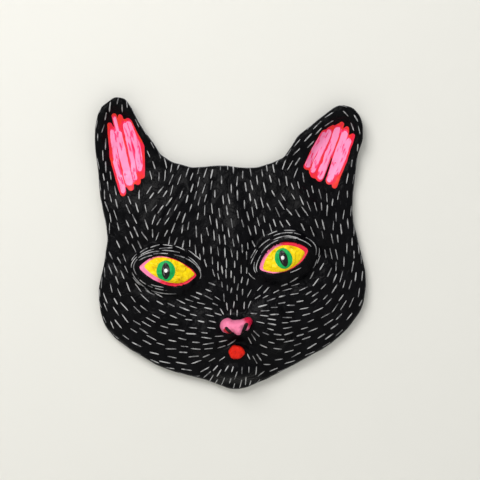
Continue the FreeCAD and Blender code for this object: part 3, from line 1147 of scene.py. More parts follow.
@dataclass
class Eye:
    """One eye: its almond, its ball and the lids that the skin forms round it."""

    side: str
    turn: float = 0.0
    skew: float = 0.0
    plump: float = 1.0
    bow: float = 0.0
    shift: Pair = (0.0, 0.0)
    crumple: float = 1.0
    step: float = 1.7
    lid_fall: float = 0.06
    ball_depth: float = 14.0

    def __post_init__(self) -> None:
        """Measures the eye's solids."""
        solid = Lump.of(f"eyeball_{self.side}")
        slant = solid.slant + math.radians(self.turn)
        self.almond = Lump(
            solid.x + self.shift[0], solid.z + self.shift[1], solid.long,
            solid.short * self.plump, slant, solid.front - self.crumple,
        )

    def distance(self, x: Array, z: Array) -> Array:
        """Signed distance to the almond, whose upper and lower arcs lean apart."""
        return lens_distance(self.almond, x, z, self.skew, self.bow)

    def ball(self, x: Array, z: Array) -> Array:
        """Height of the eyeball's front."""
        a, b = self.almond.local(x, z)
        far = (a / (1.15 * self.almond.long)) ** 2 + (b / (1.3 * self.almond.short)) ** 2
        dome = np.sqrt(np.clip(1 - far, 0.16, 1))
        wrinkles = noise_field(a, b * 1.3, 6.5, 91.0 + self.almond.x)
        ridge = 1 - 3.4 * np.abs(noise_field(a, b * 1.2, 12.0, 95.0 + self.almond.x))
        uneven = self.crumple * (wrinkles + np.maximum(ridge, 0))
        return self.almond.front - self.ball_depth * (1 - dome) + uneven

    def lids(self, x: Array, z: Array, under: Array) -> Array:
        """Height of the skin with this eye's lids and the seat of its ball.

        Args:
            x: across.
            z: up.
            under: the skin's height without the eye.

        Returns:
            The new heights.
        """
        away = self.distance(x, z)
        out = np.maximum(away, 0)
        a, _ = self.almond.local(x, z)
        hold = np.maximum(np.abs(a) - self.almond.long * 0.82, 0)
        lid = self.edge(a) + self.step - self.lid_fall * out**2
        lid = lid - 0.02 * hold**2
        skin = smooth_high(under, lid, 2.2)
        inside = smooth_step(0.7, -0.9, away)
        return skin * (1 - inside) + (self.ball(x, z) - 1.2) * inside

    def edge(self, a: Array) -> Array:
        """Height of the ball at its outline, by the place along the eye."""
        along = np.clip(a / self.almond.long, -1, 1)
        across = self.almond.short * (1 - along**2)
        x, z = self.almond.world(along * self.almond.long, across)
        return self.ball(x, z)


@dataclass
class Skin:
    """The painted skin: its outline, its relief and a way to lay things on it."""

    step: float = 1.0
    wall: float = 3.4
    rounding: float = 4.6
    wobble: float = 0.8
    junction: float = 9.0
    softness: float = 2.4
    muzzle_drop: float = 4.0
    dish_depth: float = 4.5
    least: float = 3.4
    facet: Pair = (7.0, 16.0)
    facet_seed: int = 4
    edge_spacing: float = 1.6
    band_reach: float = 3.1

    BLACK_NODES = (
        "face_shell", "ear_left", "ear_right", "brow_left", "brow_right", "nose_bridge",
        "upper_lid_left", "upper_lid_right", "lower_lid_left", "lower_lid_right",
        "muzzle_left", "muzzle_right", "chin",
    )

    # each dish runs between two points, given from the middle of the ear's lining
    EAR_DISHES = {
        "left": ((2.0, -12.0), (6.0, -40.0)), "right": ((-6.0, -10.0), (-13.0, -28.0)),
    }

    # the mouth's two grooves run from a point over the tongue to these, given from its middle
    MOUTH_RISE = 9.0
    MOUTH_ENDS = ((-21.0, -1.0), (21.0, 5.0))

    # grooves given from the middle of an eye or of the tongue
    CREASES = (
        ("left", Crease((14, 76), (-4, 48), 2.6, 3.0)),
        ("left", Crease((-8, 42), (-14, 34), 1.8, 2.6)),
        ("right", Crease((17, 45), (33, 29), 2.0, 2.8)),
        ("right", Crease((35, 10), (52, -10), 2.6, 2.8)),
        ("right", Crease((-64, 72), (-66, 55), 1.6, 2.8)),
        ("right", Crease((30, -16), (6, -27), 2.0, 3.0)),
        ("left", Crease((-30, -14), (8, -25), 1.6, 2.6)),
        ("left", Crease((-54, -58), (-40, -70), 2.0, 2.4)),
        ("left", Crease((-62, 12), (-50, 4), 1.6, 2.4)),
        ("tongue", Crease((40, 45), (50, 31), 1.7, 2.6)),
        ("tongue", Crease((50, 31), (51.6, 14.5), 1.9, 2.6)),
        ("tongue", Crease((51.6, 14.5), (40, -1), 1.7, 2.6)),
        ("tongue", Crease((-44.6, 30), (-46, 6), 1.7, 2.6)),
        ("tongue", Crease((-46, 6), (-39, -5), 1.7, 2.6)),
        ("tongue", Crease((-39, -5), (-24, -9), 1.5, 2.6)),
        ("tongue", Crease((-70, 22), (-58, -12), 1.4, 3.0)),
    )

    # inset and share of the height of each line down the side, from the rounding to the wall
    SIDE = ((0.0, 1.0), (-0.12, 0.72), (-0.16, 0.42), (0.0, 0.14), (0.3, 0.04), (1.0, 0.0))

    def __post_init__(self) -> None:
        """Reads the solids and shapes the skin's fields."""
        self.head_line = resampled(back_outline("face_shell"), 2.0)
        ears = [resampled(back_outline(f"ear_{side}"), 2.0) for side in ("left", "right")]
        everything = np.vstack([self.head_line, *ears])
        self.grid = Grid.over(everything, 9.0, self.step)
        x, z = self.grid.points()
        wave = self.wobble * noise_field(x, z, 17.0, 3.0)
        wave += 0.7 * self.wobble * noise_field(x, z, 8.0, 9.0)
        self.head = line_distance(self.head_line, x, z) + wave
        ear_away = np.minimum(*[line_distance(line, x, z) for line in ears]) + wave
        joined = smooth_low(self.head, ear_away, self.junction)
        self.outline = self.faceted(
            resampled(self.grid.zero_lines(joined)[0], self.edge_spacing)
        )
        self.distance = line_distance(self.outline, x, z)
        slope_z, slope_x = np.gradient(self.distance, self.step)
        size = np.hypot(slope_x, slope_z) + 1e-6
        self.away_x, self.away_z = slope_x / size, slope_z / size
        self.eyes = {
            "left": Eye("left", turn=5.0, skew=0.42, plump=1.03),
            "right": Eye(
                "right", turn=-3.0, skew=0.0, plump=1.08, bow=2.2, shift=(-0.5, 0.4)
            ),
        }
        self.tongue = Lump.of("tongue")
        self.base = self.solid_height(x, z, ["face_shell", "ear_left", "ear_right"])
        self.height = self.sculpted(x, z)
        log.info("skin grid %d by %d", self.grid.columns, self.grid.rows)

    def faceted(self, line: Array) -> Array:
        """A closed line with the short flat lengths of a cut and folded paper edge."""
        dice, place, corners = random.Random(self.facet_seed), 0.0, []
        spacing = line_length(line) / len(line)
        while place < len(line) - self.facet[0] / spacing:
            corners.append(line[int(place)])
            place += dice.uniform(*self.facet) / spacing
        out = resampled(np.array(corners), self.edge_spacing)
        return (np.roll(out, 1, 0) + 6 * out + np.roll(out, -1, 0)) / 8

    def solid_height(self, x: Array, z: Array, nodes: Sequence[str]) -> Array:
        """Height of the front of some solids, softened, and carried on past their edge.

        Args:
            x: across.
            z: up.
            nodes: the solids.

        Returns:
            Heights over the wall plane.
        """
        points, faces, first = [], [], 0
        for node in nodes:
            rows = node_points(node)
            points.append(rows)
            faces.append(node_triangles(node) + first)
            first += len(rows)
        tree = BVHTree.FromPolygons(
            np.vstack(points).tolist(), np.vstack(faces).tolist(), all_triangles=True
        )
        start, way = -200.0, Vector((0, 1, 0))
        hits = [
            tree.ray_cast(Vector((u, start, v)), way)[0]
            for u, v in zip(x.ravel(), z.ravel())
        ]
        high = np.array([-hit.y if hit else 0.0 for hit in hits]).reshape(x.shape)
        found = np.array([hit is not None for hit in hits], float).reshape(x.shape)

        def softened(reach: float) -> Arrays:
            """How much of a solid is near, and its height blurred over a reach."""
            near = blurred(found, reach)
            return near, blurred(high * found, reach) / np.maximum(near, 1e-4)

        near, close_height = softened(self.softness)
        _, far_height = softened(8.0)
        return np.where(near > 0.02, close_height, far_height)

    def sculpted(self, x: Array, z: Array) -> Array:
        """The skin's whole relief: pads, ridges, lids, grooves and the unevenness of paper."""
        sides = ("left", "right")
        nose, tongue = Lump.of("nose"), self.tongue
        snout = Lump(nose.x, nose.z - 1, 19.0, 14.0, 0.0, nose.front - 8.5)
        high = self.padded(
            x, z, self.base,
            [(Lump.of("nose_bridge"), 3.0, 7.0)]
            + [(Lump.of(f"brow_{side}"), 3.0, 6.0) for side in sides]
            + [(snout, 3.0, 7.0), (Lump.of("chin"), 3.0, 5.0)]
            + [(self.whisker_pad(side), 2.0, 6.0) for side in reversed(sides)],
        )
        for side, ends in self.EAR_DISHES.items():
            ear = Lump.of(f"ear_lining_{side}")
            start, end = ((ear.x + u, ear.z + v) for u, v in ends)
            away = np.maximum(stroke_distance(x, z, start, end, 4.0), 0)
            high = high - groove(away, self.dish_depth, 9.0)
        high = smooth_high(high, np.full_like(high, self.least), 3.0)
        mouth = Lump(tongue.x, tongue.z, 24.0, 15.0, 0.0, tongue.front - 2.6)
        high = self.padded(x, z, high, [(mouth, 2.0, 4.0)])
        for away in self.mouth_lines(x, z):
            high = high - groove(away, 1.6, 2.6)
        calm = 1.0
        for eye in self.eyes.values():
            away = eye.distance(x, z)
            high = high - groove(away - 15.0, 1.6, 5.0)
            high = eye.lids(x, z, high)
            calm = calm * smooth_step(-2.0, 3.0, away)
        for beside, crease in self.CREASES:
            lump = tongue if beside == "tongue" else self.eyes[beside].almond
            high = high - crease.cut(x, z, lump)
        folds = 1 - 2.4 * np.abs(noise_field(x, z, 21.0, 5.0))
        return high + calm * (
            0.9 * noise_field(x, z, 24.0, 1.0)
            + 0.6 * noise_field(x, z, 9.0, 2.0)
            + 0.7 * np.maximum(folds, 0)
        )

    def padded(
        self,
        x: Array,
        z: Array,
        high: Array,
        pads: Sequence[tuple[Lump, float, float]],
    ) -> Array:
        """A relief with pads under it.

        Args:
            x: across.
            z: up.
            high: the relief.
            pads: each one's place, how far its edge is sunk and how softly it joins.

        Returns:
            The new heights.
        """
        for lump, sink, reach in pads:
            middle = np.array([lump.x]), np.array([lump.z])
            shell = float(self.grid.sample(self.base, *middle)[0])
            high = smooth_high(high, lump.pad(x, z, shell, sink), reach)
        return high

    def whisker_pad(self, side: str) -> Lump:
        """One whisker pad, wider and lower than its solid so that it joins softly."""
        solid = Lump.of(f"muzzle_{side}")
        return Lump(
            solid.x, solid.z, 1.12 * solid.long, 1.12 * solid.short, solid.slant,
            solid.front - self.muzzle_drop,
        )

    def mouth_lines(self, x: Array, z: Array) -> list[Array]:
        """Distances from the two grooves of the mouth."""
        start = (self.tongue.x, self.tongue.z + self.MOUTH_RISE)
        return [
            stroke_distance(x, z, start, (self.tongue.x + u, self.tongue.z + v), 0.0)
            for u, v in self.MOUTH_ENDS
        ]

    # laying things on the skin

    def top(self, x: Array, z: Array) -> Array:
        """Height of the skin without its rounded edge."""
        return self.grid.sample(self.height, x, z)

    def apart(self, x: Array, z: Array) -> Array:
        """Signed distance to the mask's outline."""
        return self.grid.sample(self.distance, x, z)

    def wrapped(self, x: Array, z: Array) -> Array:
        """Points of the skin under points of the plane, wrapped round its edge.

        From where the rounding starts, a distance on the plane is a length along the
        rounding and then down the side, so that nothing laid there is stretched.

        Args:
            x: across.
            z: up.

        Returns:
            An array whose last axis is x, y, z.
        """
        away = self.apart(x, z)
        along = np.maximum(away + self.rounding, 0)
        angle = np.minimum(along / self.rounding, math.pi / 2)
        back = along - self.rounding * np.sin(angle)
        px = x - back * self.grid.sample(self.away_x, x, z)
        pz = z - back * self.grid.sample(self.away_z, x, z)
        fall = self.rounding * (1 - np.cos(angle))
        over = np.maximum(along - self.rounding * math.pi / 2, 0)
        high = np.maximum(self.top(px, pz) - fall - over, 0.4)
        return np.stack([px, -high, pz], axis=-1)

    def laid(self, x: Array, z: Array, lift: Array) -> Array:
        """Points lifted off the skin.

        Args:
            x: across.
            z: up.
            lift: distance from the skin, along its normal.

        Returns:
            An array whose last axis is x, y, z.
        """
        reach = 0.5
        by_x = self.wrapped(x + reach, z) - self.wrapped(x - reach, z)
        by_z = self.wrapped(x, z + reach) - self.wrapped(x, z - reach)
        normal = np.cross(by_x, by_z)
        normal /= np.linalg.norm(normal, axis=-1, keepdims=True) + 1e-9
        return self.wrapped(x, z) + normal * np.asarray(lift)[..., None]

    def build(self) -> None:
        """Builds the skin, with its side, its back edge and the bare paper behind it."""

        def foot(x: Array, z: Array) -> Array:
            """Where the rounding meets the side wall."""
            return self.top(x, z) - self.rounding

        sheet = Moulding(self.apart, self.top, foot, rounded_rings(self.rounding, 7))
        front = sheet.build("black_skin", self.grid)
        side = Mesher()
        line = sheet.lines(self.grid)[0]
        normal, edge, before = outward(line), foot(*line.T), None
        for inset, share in (*self.SIDE, (self.wall, 0.0)):
            x, z = (line - normal * inset).T
            row = side.add(np.column_stack([x, -edge * share, z]))
            if before is not None:
                side.strip(row, before, len(line), True)
            before = row
        around = side.object("skin_side")
        join = bmesh.new()
        join.from_mesh(front.data)
        join.from_mesh(around.data)
        bmesh.ops.remove_doubles(join, verts=join.verts, dist=0.004 * MM)
        join.to_mesh(front.data)
        join.free()
        bpy.data.objects.remove(around)
        front.data.polygons.foreach_set("use_smooth", [True] * len(front.data.polygons))
        settle(front, BLACK, Slot.BLACK, self.BLACK_NODES)
        self.build_back()

    def build_back(self) -> None:
        """Builds the bare paper of the hollow, the band in its edge and the ears' backs."""
        x, z = self.grid.points()
        inner = self.solid_height(x, z, ["face_shell"]) - 3.5
        inner = np.minimum(inner, blurred(self.height, 2.0) - 3.2)
        pasted = PastedPieces(5).relief(self.grid)
        inner = inner + 0.5 * noise_field(x, z, 15.0, 12.0) - pasted
        hollow = np.maximum(self.head, self.distance)
        fields = self.grid

        def hollow_edge(x: Array, z: Array) -> Array:
            """Signed distance to the hollow's outline."""
            return fields.sample(hollow, x, z) + self.wall - 0.15

        def hollow_top(x: Array, z: Array) -> Array:
            """Height of the hollow's paper."""
            return fields.sample(inner, x, z)

        def flat(x: Array, z: Array) -> Array:
            """The wall plane."""
            return np.zeros_like(x)

        rings = [Ring(0.0, 0.0), Ring(0.15, 0.3), Ring(0.3, 0.65), Ring(0.8, 0.9),
                 Ring(1.8, 1.0)]
        lining = Moulding(hollow_edge, hollow_top, flat, rings, 1.5, True)
        settle(lining.build("hollow_paper", fields), KRAFT, Slot.BARE)

        def ear_back(x: Array, z: Array) -> Array:
            """Signed distance to the back of either ear."""
            behind = fields.sample(self.distance, x, z) + self.wall - 0.2
            return np.maximum(behind, -fields.sample(self.head, x, z) - self.wall + 0.1)

        def ear_paper(x: Array, z: Array) -> Array:
            """Height of the paper on the ears' backs."""
            uneven = 0.1 * noise_field(x, z, 11.0, 20.0)
            return 0.95 + uneven - fields.sample(pasted, x, z)

        rings = [Ring(0.0, 0.0), Ring(0.5, 1.0)]
        backs = Moulding(ear_back, ear_paper, flat, rings, 1.5, True)
        settle(backs.build("ear_back_paper", fields), KRAFT, Slot.BARE)

        def band_top(x: Array, z: Array) -> Array:
            """How far forward the folded band reaches."""
            return np.full_like(x, self.band_reach)

        rings = [Ring(0.0, 0.02), Ring(0.5, 0.0), Ring(1.0, 0.05), Ring(1.2, 0.4),
                 Ring(1.15, 0.9), Ring(0.9, 1.0), Ring(0.3, 1.0)]
        band = Moulding(hollow_edge, band_top, flat, rings, 1.6, True)
        settle(band.build("edge_band", fields, False), BAND, Slot.BARE, ["rim_band"])


# ------------------------------------------------------------------ paint on the skin


@dataclass
class Patch:
    """A coat of paint laid on a surface inside an outline.

    The lip is how far in its rounded edge reaches; nodes are the solids that it stands for.
    """

    name: str
    distance: Height
    under: Height
    finish: Paint
    slot: Slot
    thickness: float = 0.25
    lip: float = 0.5
    spacing: float = 0.9
    nodes: tuple[str, ...] = ()

    def build(self, around: Array, margin: float = 4.0) -> bpy.types.Object:
        """Builds the coat.

        Args:
            around: points that the coat lies round, as rows of x, z.
            margin: room past them.

        Returns:
            The object.
        """
        grid = Grid.over(around, margin, min(0.5, self.spacing))

        def top(x: Array, z: Array) -> Array:
            """The coat's face."""
            return self.under(x, z) + self.thickness

        def foot(x: Array, z: Array) -> Array:
            """Just under what the coat lies on."""
            return self.under(x, z) - 0.15

        sheet = Moulding(
            self.distance, top, foot, rounded_rings(self.lip, 3), self.spacing
        )
        return settle(
            sheet.build(self.name, grid), self.finish, self.slot, self.nodes
        )


@dataclass
class EyePaint:
    """The rim, ball, iris, pupil and dot of one eye.

    The ball is shifted and drawn in from the almond, the iris is placed from the almond's
    middle and the dot from the iris's; halves are half sizes, and the tilt is in radians.
    """

    eye: Eye
    rim: SplitPaint
    rim_out: float
    ball_shift: Pair
    ball_in: float
    iris_at: Pair
    iris_half: Pair
    pupil_half: Pair
    tilt: float
    dot_at: Pair

    def build(self) -> None:
        """Builds every coat of the eye."""
        side, almond = self.eye.side, self.eye.almond
        corners = np.array(
            [almond.world(a * almond.long, b * almond.short)
             for a, b in ((-1, 0), (1, 0), (0, -1), (0, 1))]
        )

        def rim_edge(x: Array, z: Array) -> Array:
            """Outline of the pink and red line round the eye."""
            ragged = 0.35 * noise_field(x, z, 6.0, 31.0 + almond.x)
            return self.eye.distance(x, z) - self.rim_out + ragged

        def rim_under(x: Array, z: Array) -> Array:
            """The slope from the ball up to the lids."""
            away = self.eye.distance(x, z)
            a, _ = almond.local(x, z)
            lid = self.eye.edge(a) + self.eye.step + 0.1
            up = smooth_step(-0.9, 0.9, away)
            return self.eye.ball(x, z) * (1 - up) + lid * up

        Patch(
            f"eye_{side}_rim", rim_edge, rim_under, self.rim, Slot.RIM, thickness=0.18,
            lip=0.5, spacing=0.8,
        ).build(corners, 6.0)

        inner = Lump(
            almond.x + self.ball_shift[0], almond.z + self.ball_shift[1],
            almond.long - self.ball_in, almond.short - 0.42 * self.ball_in, almond.slant,
            almond.front,
        )

        def inner_edge(x: Array, z: Array) -> Array:
            """The even almond that the yellow keeps to."""
            return lens_distance(inner, x, z, self.eye.skew, self.eye.bow)

        def ball_edge(x: Array, z: Array) -> Array:
            """Outline of the yellow."""
            return inner_edge(x, z) + 0.45 * noise_field(x, z, 7.0, 41.0 + almond.x)

        Patch(
            f"eyeball_{side}_yellow", ball_edge, self.eye.ball, YELLOW, Slot.EYE,
            thickness=0.5, lip=0.7, spacing=0.8, nodes=(f"eyeball_{side}",),
        ).build(corners)

        iris = almond.x + self.iris_at[0], almond.z + self.iris_at[1]
        dot = iris[0] + self.dot_at[0], iris[1] + self.dot_at[1]

        def iris_edge(x: Array, z: Array) -> Array:
            """Outline of the green."""
            ragged = 0.35 * noise_field(x, z, 5.0, 51.0 + almond.x)
            round_edge = oval_distance(x, z, iris, self.iris_half, self.tilt) + ragged
            return np.maximum(round_edge, inner_edge(x, z) + 0.3)

        def pupil_edge(x: Array, z: Array) -> Array:
            """Outline of the slit, wide in its middle and drawn out at its ends."""
            a, b = turned(x - iris[0], z - iris[1], self.tilt)
            half = Lump(0.0, 0.0, self.pupil_half[1] + 0.8, self.pupil_half[0], 0.0, 0.0)
            lens = lens_distance(half, b, a)
            oval = (np.hypot(a / self.pupil_half[0], b / self.pupil_half[1]) - 1) * 3.5
            return (lens + oval) / 2

        def glint_edge(x: Array, z: Array) -> Array:
            """Outline of the painted glint, a thin grey line down the pupil's left side."""
            a, b = turned(x - iris[0], z - iris[1], self.tilt)
            bow = -1.9 + 0.035 * b**2
            return np.hypot(a - bow, np.maximum(np.abs(b + 0.6) - 3.6, 0)) - 0.34

        def dot_edge(x: Array, z: Array) -> Array:
            """Outline of the white dot."""
            return oval_distance(x, z, dot, (1.7, 2.0), 0.0)

        def raised(by: float) -> Height:
            """The ball's front under so much paint."""
            return lambda x, z: self.eye.ball(x, z) + by

        # paint under it, finish, slot, thickness, lip, spacing, middle and room round it
        for name, edge, under, finish, slot, thickness, lip, spacing, spot, room in (
            ("iris", iris_edge, 0.5, GREEN, Slot.IRIS, 0.22, 0.4, 0.7, iris, 15.0),
            ("pupil", pupil_edge, 0.72, PUPIL, Slot.PUPIL, 0.15, 0.3, 0.6, iris, 12.0),
            ("glint", glint_edge, 0.86, GLINT, Slot.PUPIL, 0.1, 0.15, 0.4, iris, 8.0),
            ("spark", dot_edge, 0.86, WHITE, Slot.SPARK, 0.2, 0.3, 0.45, dot, 3.0),
        ):
            Patch(
                f"{name}_{side}", edge, raised(under), finish, slot, thickness, lip, spacing
            ).build(np.array([spot]), room)


@dataclass(frozen=True)
class EarStroke:
    """One stroke of a wide brush in an ear: its two ends from the lining's middle, its width,
    and how much narrower the pink on it is."""

    top: Pair
    low: Pair
    width: float
    spare: float = 0.8
    bow: float = 0.0


@dataclass
class EarPaint:
    """The red ground and pink strokes in one ear's dish.

    Mottled is the middle of the worn patch, pulled how far the pink stops short of the ends
    and margin the black left inside the mask's outline.
    """

    skin: Skin
    side: str
    strokes: tuple[EarStroke, ...]
    ground: tuple[EarStroke, ...]
    mottled: Pair
    seed: float
    pulled: float = 2.0
    margin: float = 3.0

    def __post_init__(self) -> None:
        """Finds the dish and the way that the strokes run."""
        self.dish = Lump.of(f"ear_lining_{self.side}")
        middle = self.strokes[len(self.strokes) // 2]
        self.along = Vector(middle.top) - Vector(middle.low)
        self.along.normalize()

    def ends(self, stroke: EarStroke, pulled: float) -> tuple[Vector, Vector]:
        """The two ends of a stroke on the plane, pulled in by a length."""
        middle = Vector((self.dish.x, self.dish.z))
        top, low = middle + Vector(stroke.top), middle + Vector(stroke.low)
        way = (top - low).normalized() * pulled
        return top - way, low + way

    def by_strokes(self, x: Array, z: Array) -> Arrays:
        """How far points lie along and across the strokes."""
        ax, az = self.along
        return x * ax + z * az, z * ax - x * az

    def edge(
        self,
        strokes: Sequence[EarStroke],
        narrower: float | None,
        pulled: float,
        seed: float,
        ragged: float = 0.4,
    ) -> Height:
        """The outline of some strokes together.

        Args:
            strokes: the strokes.
            narrower: how much narrower than stated they are on each side, or None for each
                stroke's own.
            pulled: how far their ends are pulled in.
            seed: which ragged edge.
            ragged: how far the dry bristles reach in.

        Returns:
            The signed distance as a function.
        """
        lengths = []
        for stroke in strokes:
            half = stroke.width / 2 - (stroke.spare if narrower is None else narrower)
            top, low = self.ends(stroke, pulled)
            way = (top - low).normalized()
            bend = (top + low) / 2 + Vector((way.y, -way.x)) * stroke.bow
            lengths += [(top, bend, half), (bend, low, half)]

        def away(x: Array, z: Array) -> Array:
            """Signed distance to the strokes."""
            best = np.full(x.shape, 1e3)
            for one, two, half in lengths:
                best = smooth_low(best, stroke_distance(x, z, one, two, half), 0.6)
            along, across = self.by_strokes(x, z)
            best = best + 0.35 * noise_field(x, z, 4.0, seed)
            best = best + ragged * noise_field(across * 6, along, 8.0, seed + 0.5)
            return np.maximum(best, self.skin.apart(x, z) + self.margin)

        return away

    def build(self) -> None:
        """Builds the ground, the hot pink under-strokes and the pink strokes."""
        every = (*self.strokes, *self.ground)
        around = np.array([tuple(end) for one in every for end in self.ends(one, 0.0)])
        lean = math.degrees(math.atan2(self.along.x, self.along.y))
        seed = self.seed

        def lifted(by: float) -> Height:
            """The skin under so much paint."""
            return lambda x, z: self.skin.top(x, z) + by

        def leaning(paint: Paint) -> Paint:
            """The same paint with its streaks along these strokes."""
            return replace(paint, name=f"{paint.name} {self.side}", lean=-lean)

        Patch(
            f"ear_red_{self.side}", self.edge(every, 0.0, 0.0, seed), lifted(0.0),
            leaning(EAR_RED), Slot.EAR, thickness=0.22, lip=0.4, spacing=0.9,
            nodes=(f"ear_lining_{self.side}",),
        ).build(around, 12.0)
        Patch(
            f"ear_hot_{self.side}", self.edge(self.strokes, 0.45, 1.2, seed + 1, 0.7),
            lifted(0.2), leaning(EAR_HOT), Slot.EAR, thickness=0.14, lip=0.3, spacing=0.9,
        ).build(around, 12.0)
        for number, stroke in enumerate(self.strokes):
            ends = np.array([tuple(end) for end in self.ends(stroke, 0.0)])
            Patch(
                f"ear_pink_{self.side}_{number}",
                self.edge([stroke], None, self.pulled, seed + 2 + number, 0.9),
                lifted(0.33), leaning(EAR_PINK), Slot.EAR,
                thickness=0.16 + 0.04 * (number % 3), lip=0.3, spacing=0.8,
            ).build(ends, 8.0)
        spot = self.dish.x + self.mottled[0], self.dish.z + self.mottled[1]

        def mottled(x: Array, z: Array) -> Array:
            """Outline of the red specks that show through the worn pink."""
            along, across = self.by_strokes(x - spot[0], z - spot[1])
            far = np.hypot(along / 22.0, across / 7.0)
            speck = noise_field(across * 1.5, along, 3.2, seed + 9)
            return np.maximum(2.2 * (0.42 + 0.5 * far**2 - speck), 3.0 * (far - 1.1))

        Patch(
            f"ear_specks_{self.side}", mottled, lifted(0.6), leaning(EAR_HOT), Slot.EAR,
            thickness=0.05, lip=0.15, spacing=0.5,
        ).build(np.array([spot]), 26.0)


@dataclass
class Muzzle:
    """The nose with its nostrils, and the tongue tip."""

    skin: Skin
    roundness: float = 4.2

    def __post_init__(self) -> None:
        """Finds the two solids."""
        self.nose, self.tongue = Lump.of("nose"), self.skin.tongue

    def nose_edge(self, x: Array, z: Array) -> Array:
        """Outline of the heart-shaped nose."""
        u, v = x - self.nose.x, z - self.nose.z
        wide = self.nose.long / 15.25
        left = np.hypot(u + 7.9 * wide, v - 0.4) - 6.9 * wide
        middle = stroke_distance(u, v, (-0.6, 0.6), (2.2, -3.2), 4.9)
        right = stroke_distance(u, v, (3.6, 1.8), (11.2 * wide, 4.7), 3.7)
        wing = stroke_distance(u, v, (11.0, 3.8), (9.4, -0.8), 3.1)
        right = smooth_low(right, wing, 1.5)
        both = smooth_low(smooth_low(left, middle, 2.5), right, 3.0)
        return both + 0.25 * noise_field(x, z, 5.0, 71.0)

    def nose_top(self, x: Array, z: Array) -> Array:
        """Height of the nose: two wings and a tip."""
        u, v = x - self.nose.x, z - self.nose.z
        dome = self.nose.front - 0.028 * u**2 - 0.05 * (v + 1.0) ** 2
        dip = 1.6 * np.exp(-(((u + 1.0) / 3.2) ** 2) - ((v - 6.0) / 3.5) ** 2)
        left_hole = groove(
            stroke_distance(u, v, (-7.6, -3.4), (-1.8, -7.4), 0.0), 2.4, 1.6
        )
        right_hole = groove(stroke_distance(u, v, (8.2, -0.6), (6.4, -6.4), 0.0), 2.6, 1.9)
        uneven = 0.25 * noise_field(x, z, 6.0, 73.0)
        return dome - dip - left_hole - right_hole + uneven

    def build(self) -> None:
        """Builds the nose, its nostrils and the tongue tip."""

        def foot(x: Array, z: Array) -> Array:
            """Inside the snout."""
            return np.minimum(self.skin.top(x, z) - 0.6, self.nose_top(x, z) - 5.0)

        def nose_skin(x: Array, z: Array) -> Array:
            """The nose with its rounded edge."""
            inset = np.clip(self.roundness + self.nose_edge(x, z), 0, self.roundness)
            share = np.sqrt(np.clip(1 - (inset / self.roundness) ** 2, 0, 1))
            low = foot(x, z)
            return low + (self.nose_top(x, z) - low) * share

        place, toward = np.array([(self.nose.x, self.nose.z)]), (0.83, 0.0, 0.56)
        grid = Grid.over(place, 24.0, 0.5)
        pink = SplitPaint(
            "Pink nose", (0.93, 0.23, 0.41), (0.7, 0.01, 0.06), (0.32, 0.44), across=330.0,
            along=160.0, show=(0.52, 0.7), relief=0.5, fold_scale=200.0,
            toward=toward, line=(toward[0] * self.nose.x + toward[2] * self.nose.z) + 9.2,
            softness=1.6,
        )
        rings = [Ring(0.0, 0.0), Ring(0.02, 0.5), Ring(0.08, 1.0), Ring(0.3, 1.0),
                 Ring(0.6, 1.0)]
        sheet = Moulding(self.nose_edge, nose_skin, foot, rings, 0.5)
        settle(sheet.build("pink_nose", grid), pink, Slot.NOSE, ["nose"])

        def slit(start: Pair, end: Pair, half: float) -> Height:
            """The outline of a nostril, from where it starts to where it ends."""

            def away(x: Array, z: Array) -> Array:
                """Signed distance to the slit."""
                u, v = x - self.nose.x, z - self.nose.z
                ragged = 0.2 * noise_field(x, z, 3.0, 77.0)
                return stroke_distance(u, v, start, end, half) + ragged

            return away

        red = Paint(
            "Red nostril wing", (0.62, 0.02, 0.03), (0.8, 0.05, 0.12), (0.35, 0.45),
            across=400.0, along=300.0, relief=0.2,
        )
        for name, start, end, half, finish, slot, thickness, spacing in (
            ("nose_red_left", (-9.8, -3.2), (-5.4, -5.4), 1.9, red, Slot.NOSE, 0.15, 0.45),
            ("nostril_left", (-8.9, -1.4), (-4.4, -6.2), 1.6, NOSTRIL, Slot.PUPIL, 0.3, 0.4),
            ("nostril_right", (9.3, 2.0), (5.6, -7.2), 1.75, NOSTRIL, Slot.PUPIL, 0.3, 0.4),
        ):
            Patch(
                name, slit(start, end, half), nose_skin, finish, slot, thickness, 0.2, spacing
            ).build(place, 16.0)
        self.build_tongue()

    def build_tongue(self) -> None:
        """Builds the tongue tip."""

        def tongue_edge(x: Array, z: Array) -> Array:
            """Outline of the tongue tip, a little cornered."""
            u, v = x - self.tongue.x, z - self.tongue.z - 0.9
            turn = np.arctan2(v, u)
            radius = 7.4 + 0.25 * np.cos(6 * turn + 0.6) + 0.25 * np.cos(3 * turn)
            return np.hypot(u, v * 1.16) - radius

        def tongue_top(x: Array, z: Array) -> Array:
            """Height of the tongue tip."""
            u, v = x - self.tongue.x, z - self.tongue.z
            flat = self.tongue.front - 0.012 * (u**2 + v**2)
            return flat + 0.45 * noise_field(x, z, 4.0, 81.0)

        def tongue_foot(x: Array, z: Array) -> Array:
            """Inside the skin."""
            return np.minimum(self.skin.top(x, z) - 0.6, tongue_top(x, z) - 3.0)

        place = np.array([(self.tongue.x, self.tongue.z)])
        grid = Grid.over(place, 12.0, 0.4)
        sheet = Moulding(tongue_edge, tongue_top, tongue_foot, rounded_rings(1.6, 4), 0.6)
        settle(sheet.build("red_tongue", grid), TONGUE, Slot.TONGUE, ["tongue"])

    def tongue_away(self, x: Array, z: Array) -> Array:
        """Distance from the tongue tip, taken as round."""
        return np.hypot(x - self.tongue.x, z - self.tongue.z) - 7.0

    def mouth_away(self, x: Array, z: Array) -> Array:
        """Distance from the nearer of the mouth's two grooves."""
        return np.minimum(*self.skin.mouth_lines(x, z))


# ------------------------------------------------------------------ hair


@dataclass(frozen=True)
class Comb:
    """How the hair lies near one place: shares of the face's width and height from its middle,
    the strokes' angle in degrees, and how close and long they are."""

    u: float
    v: float
    angle: float
    close: float = 1.0


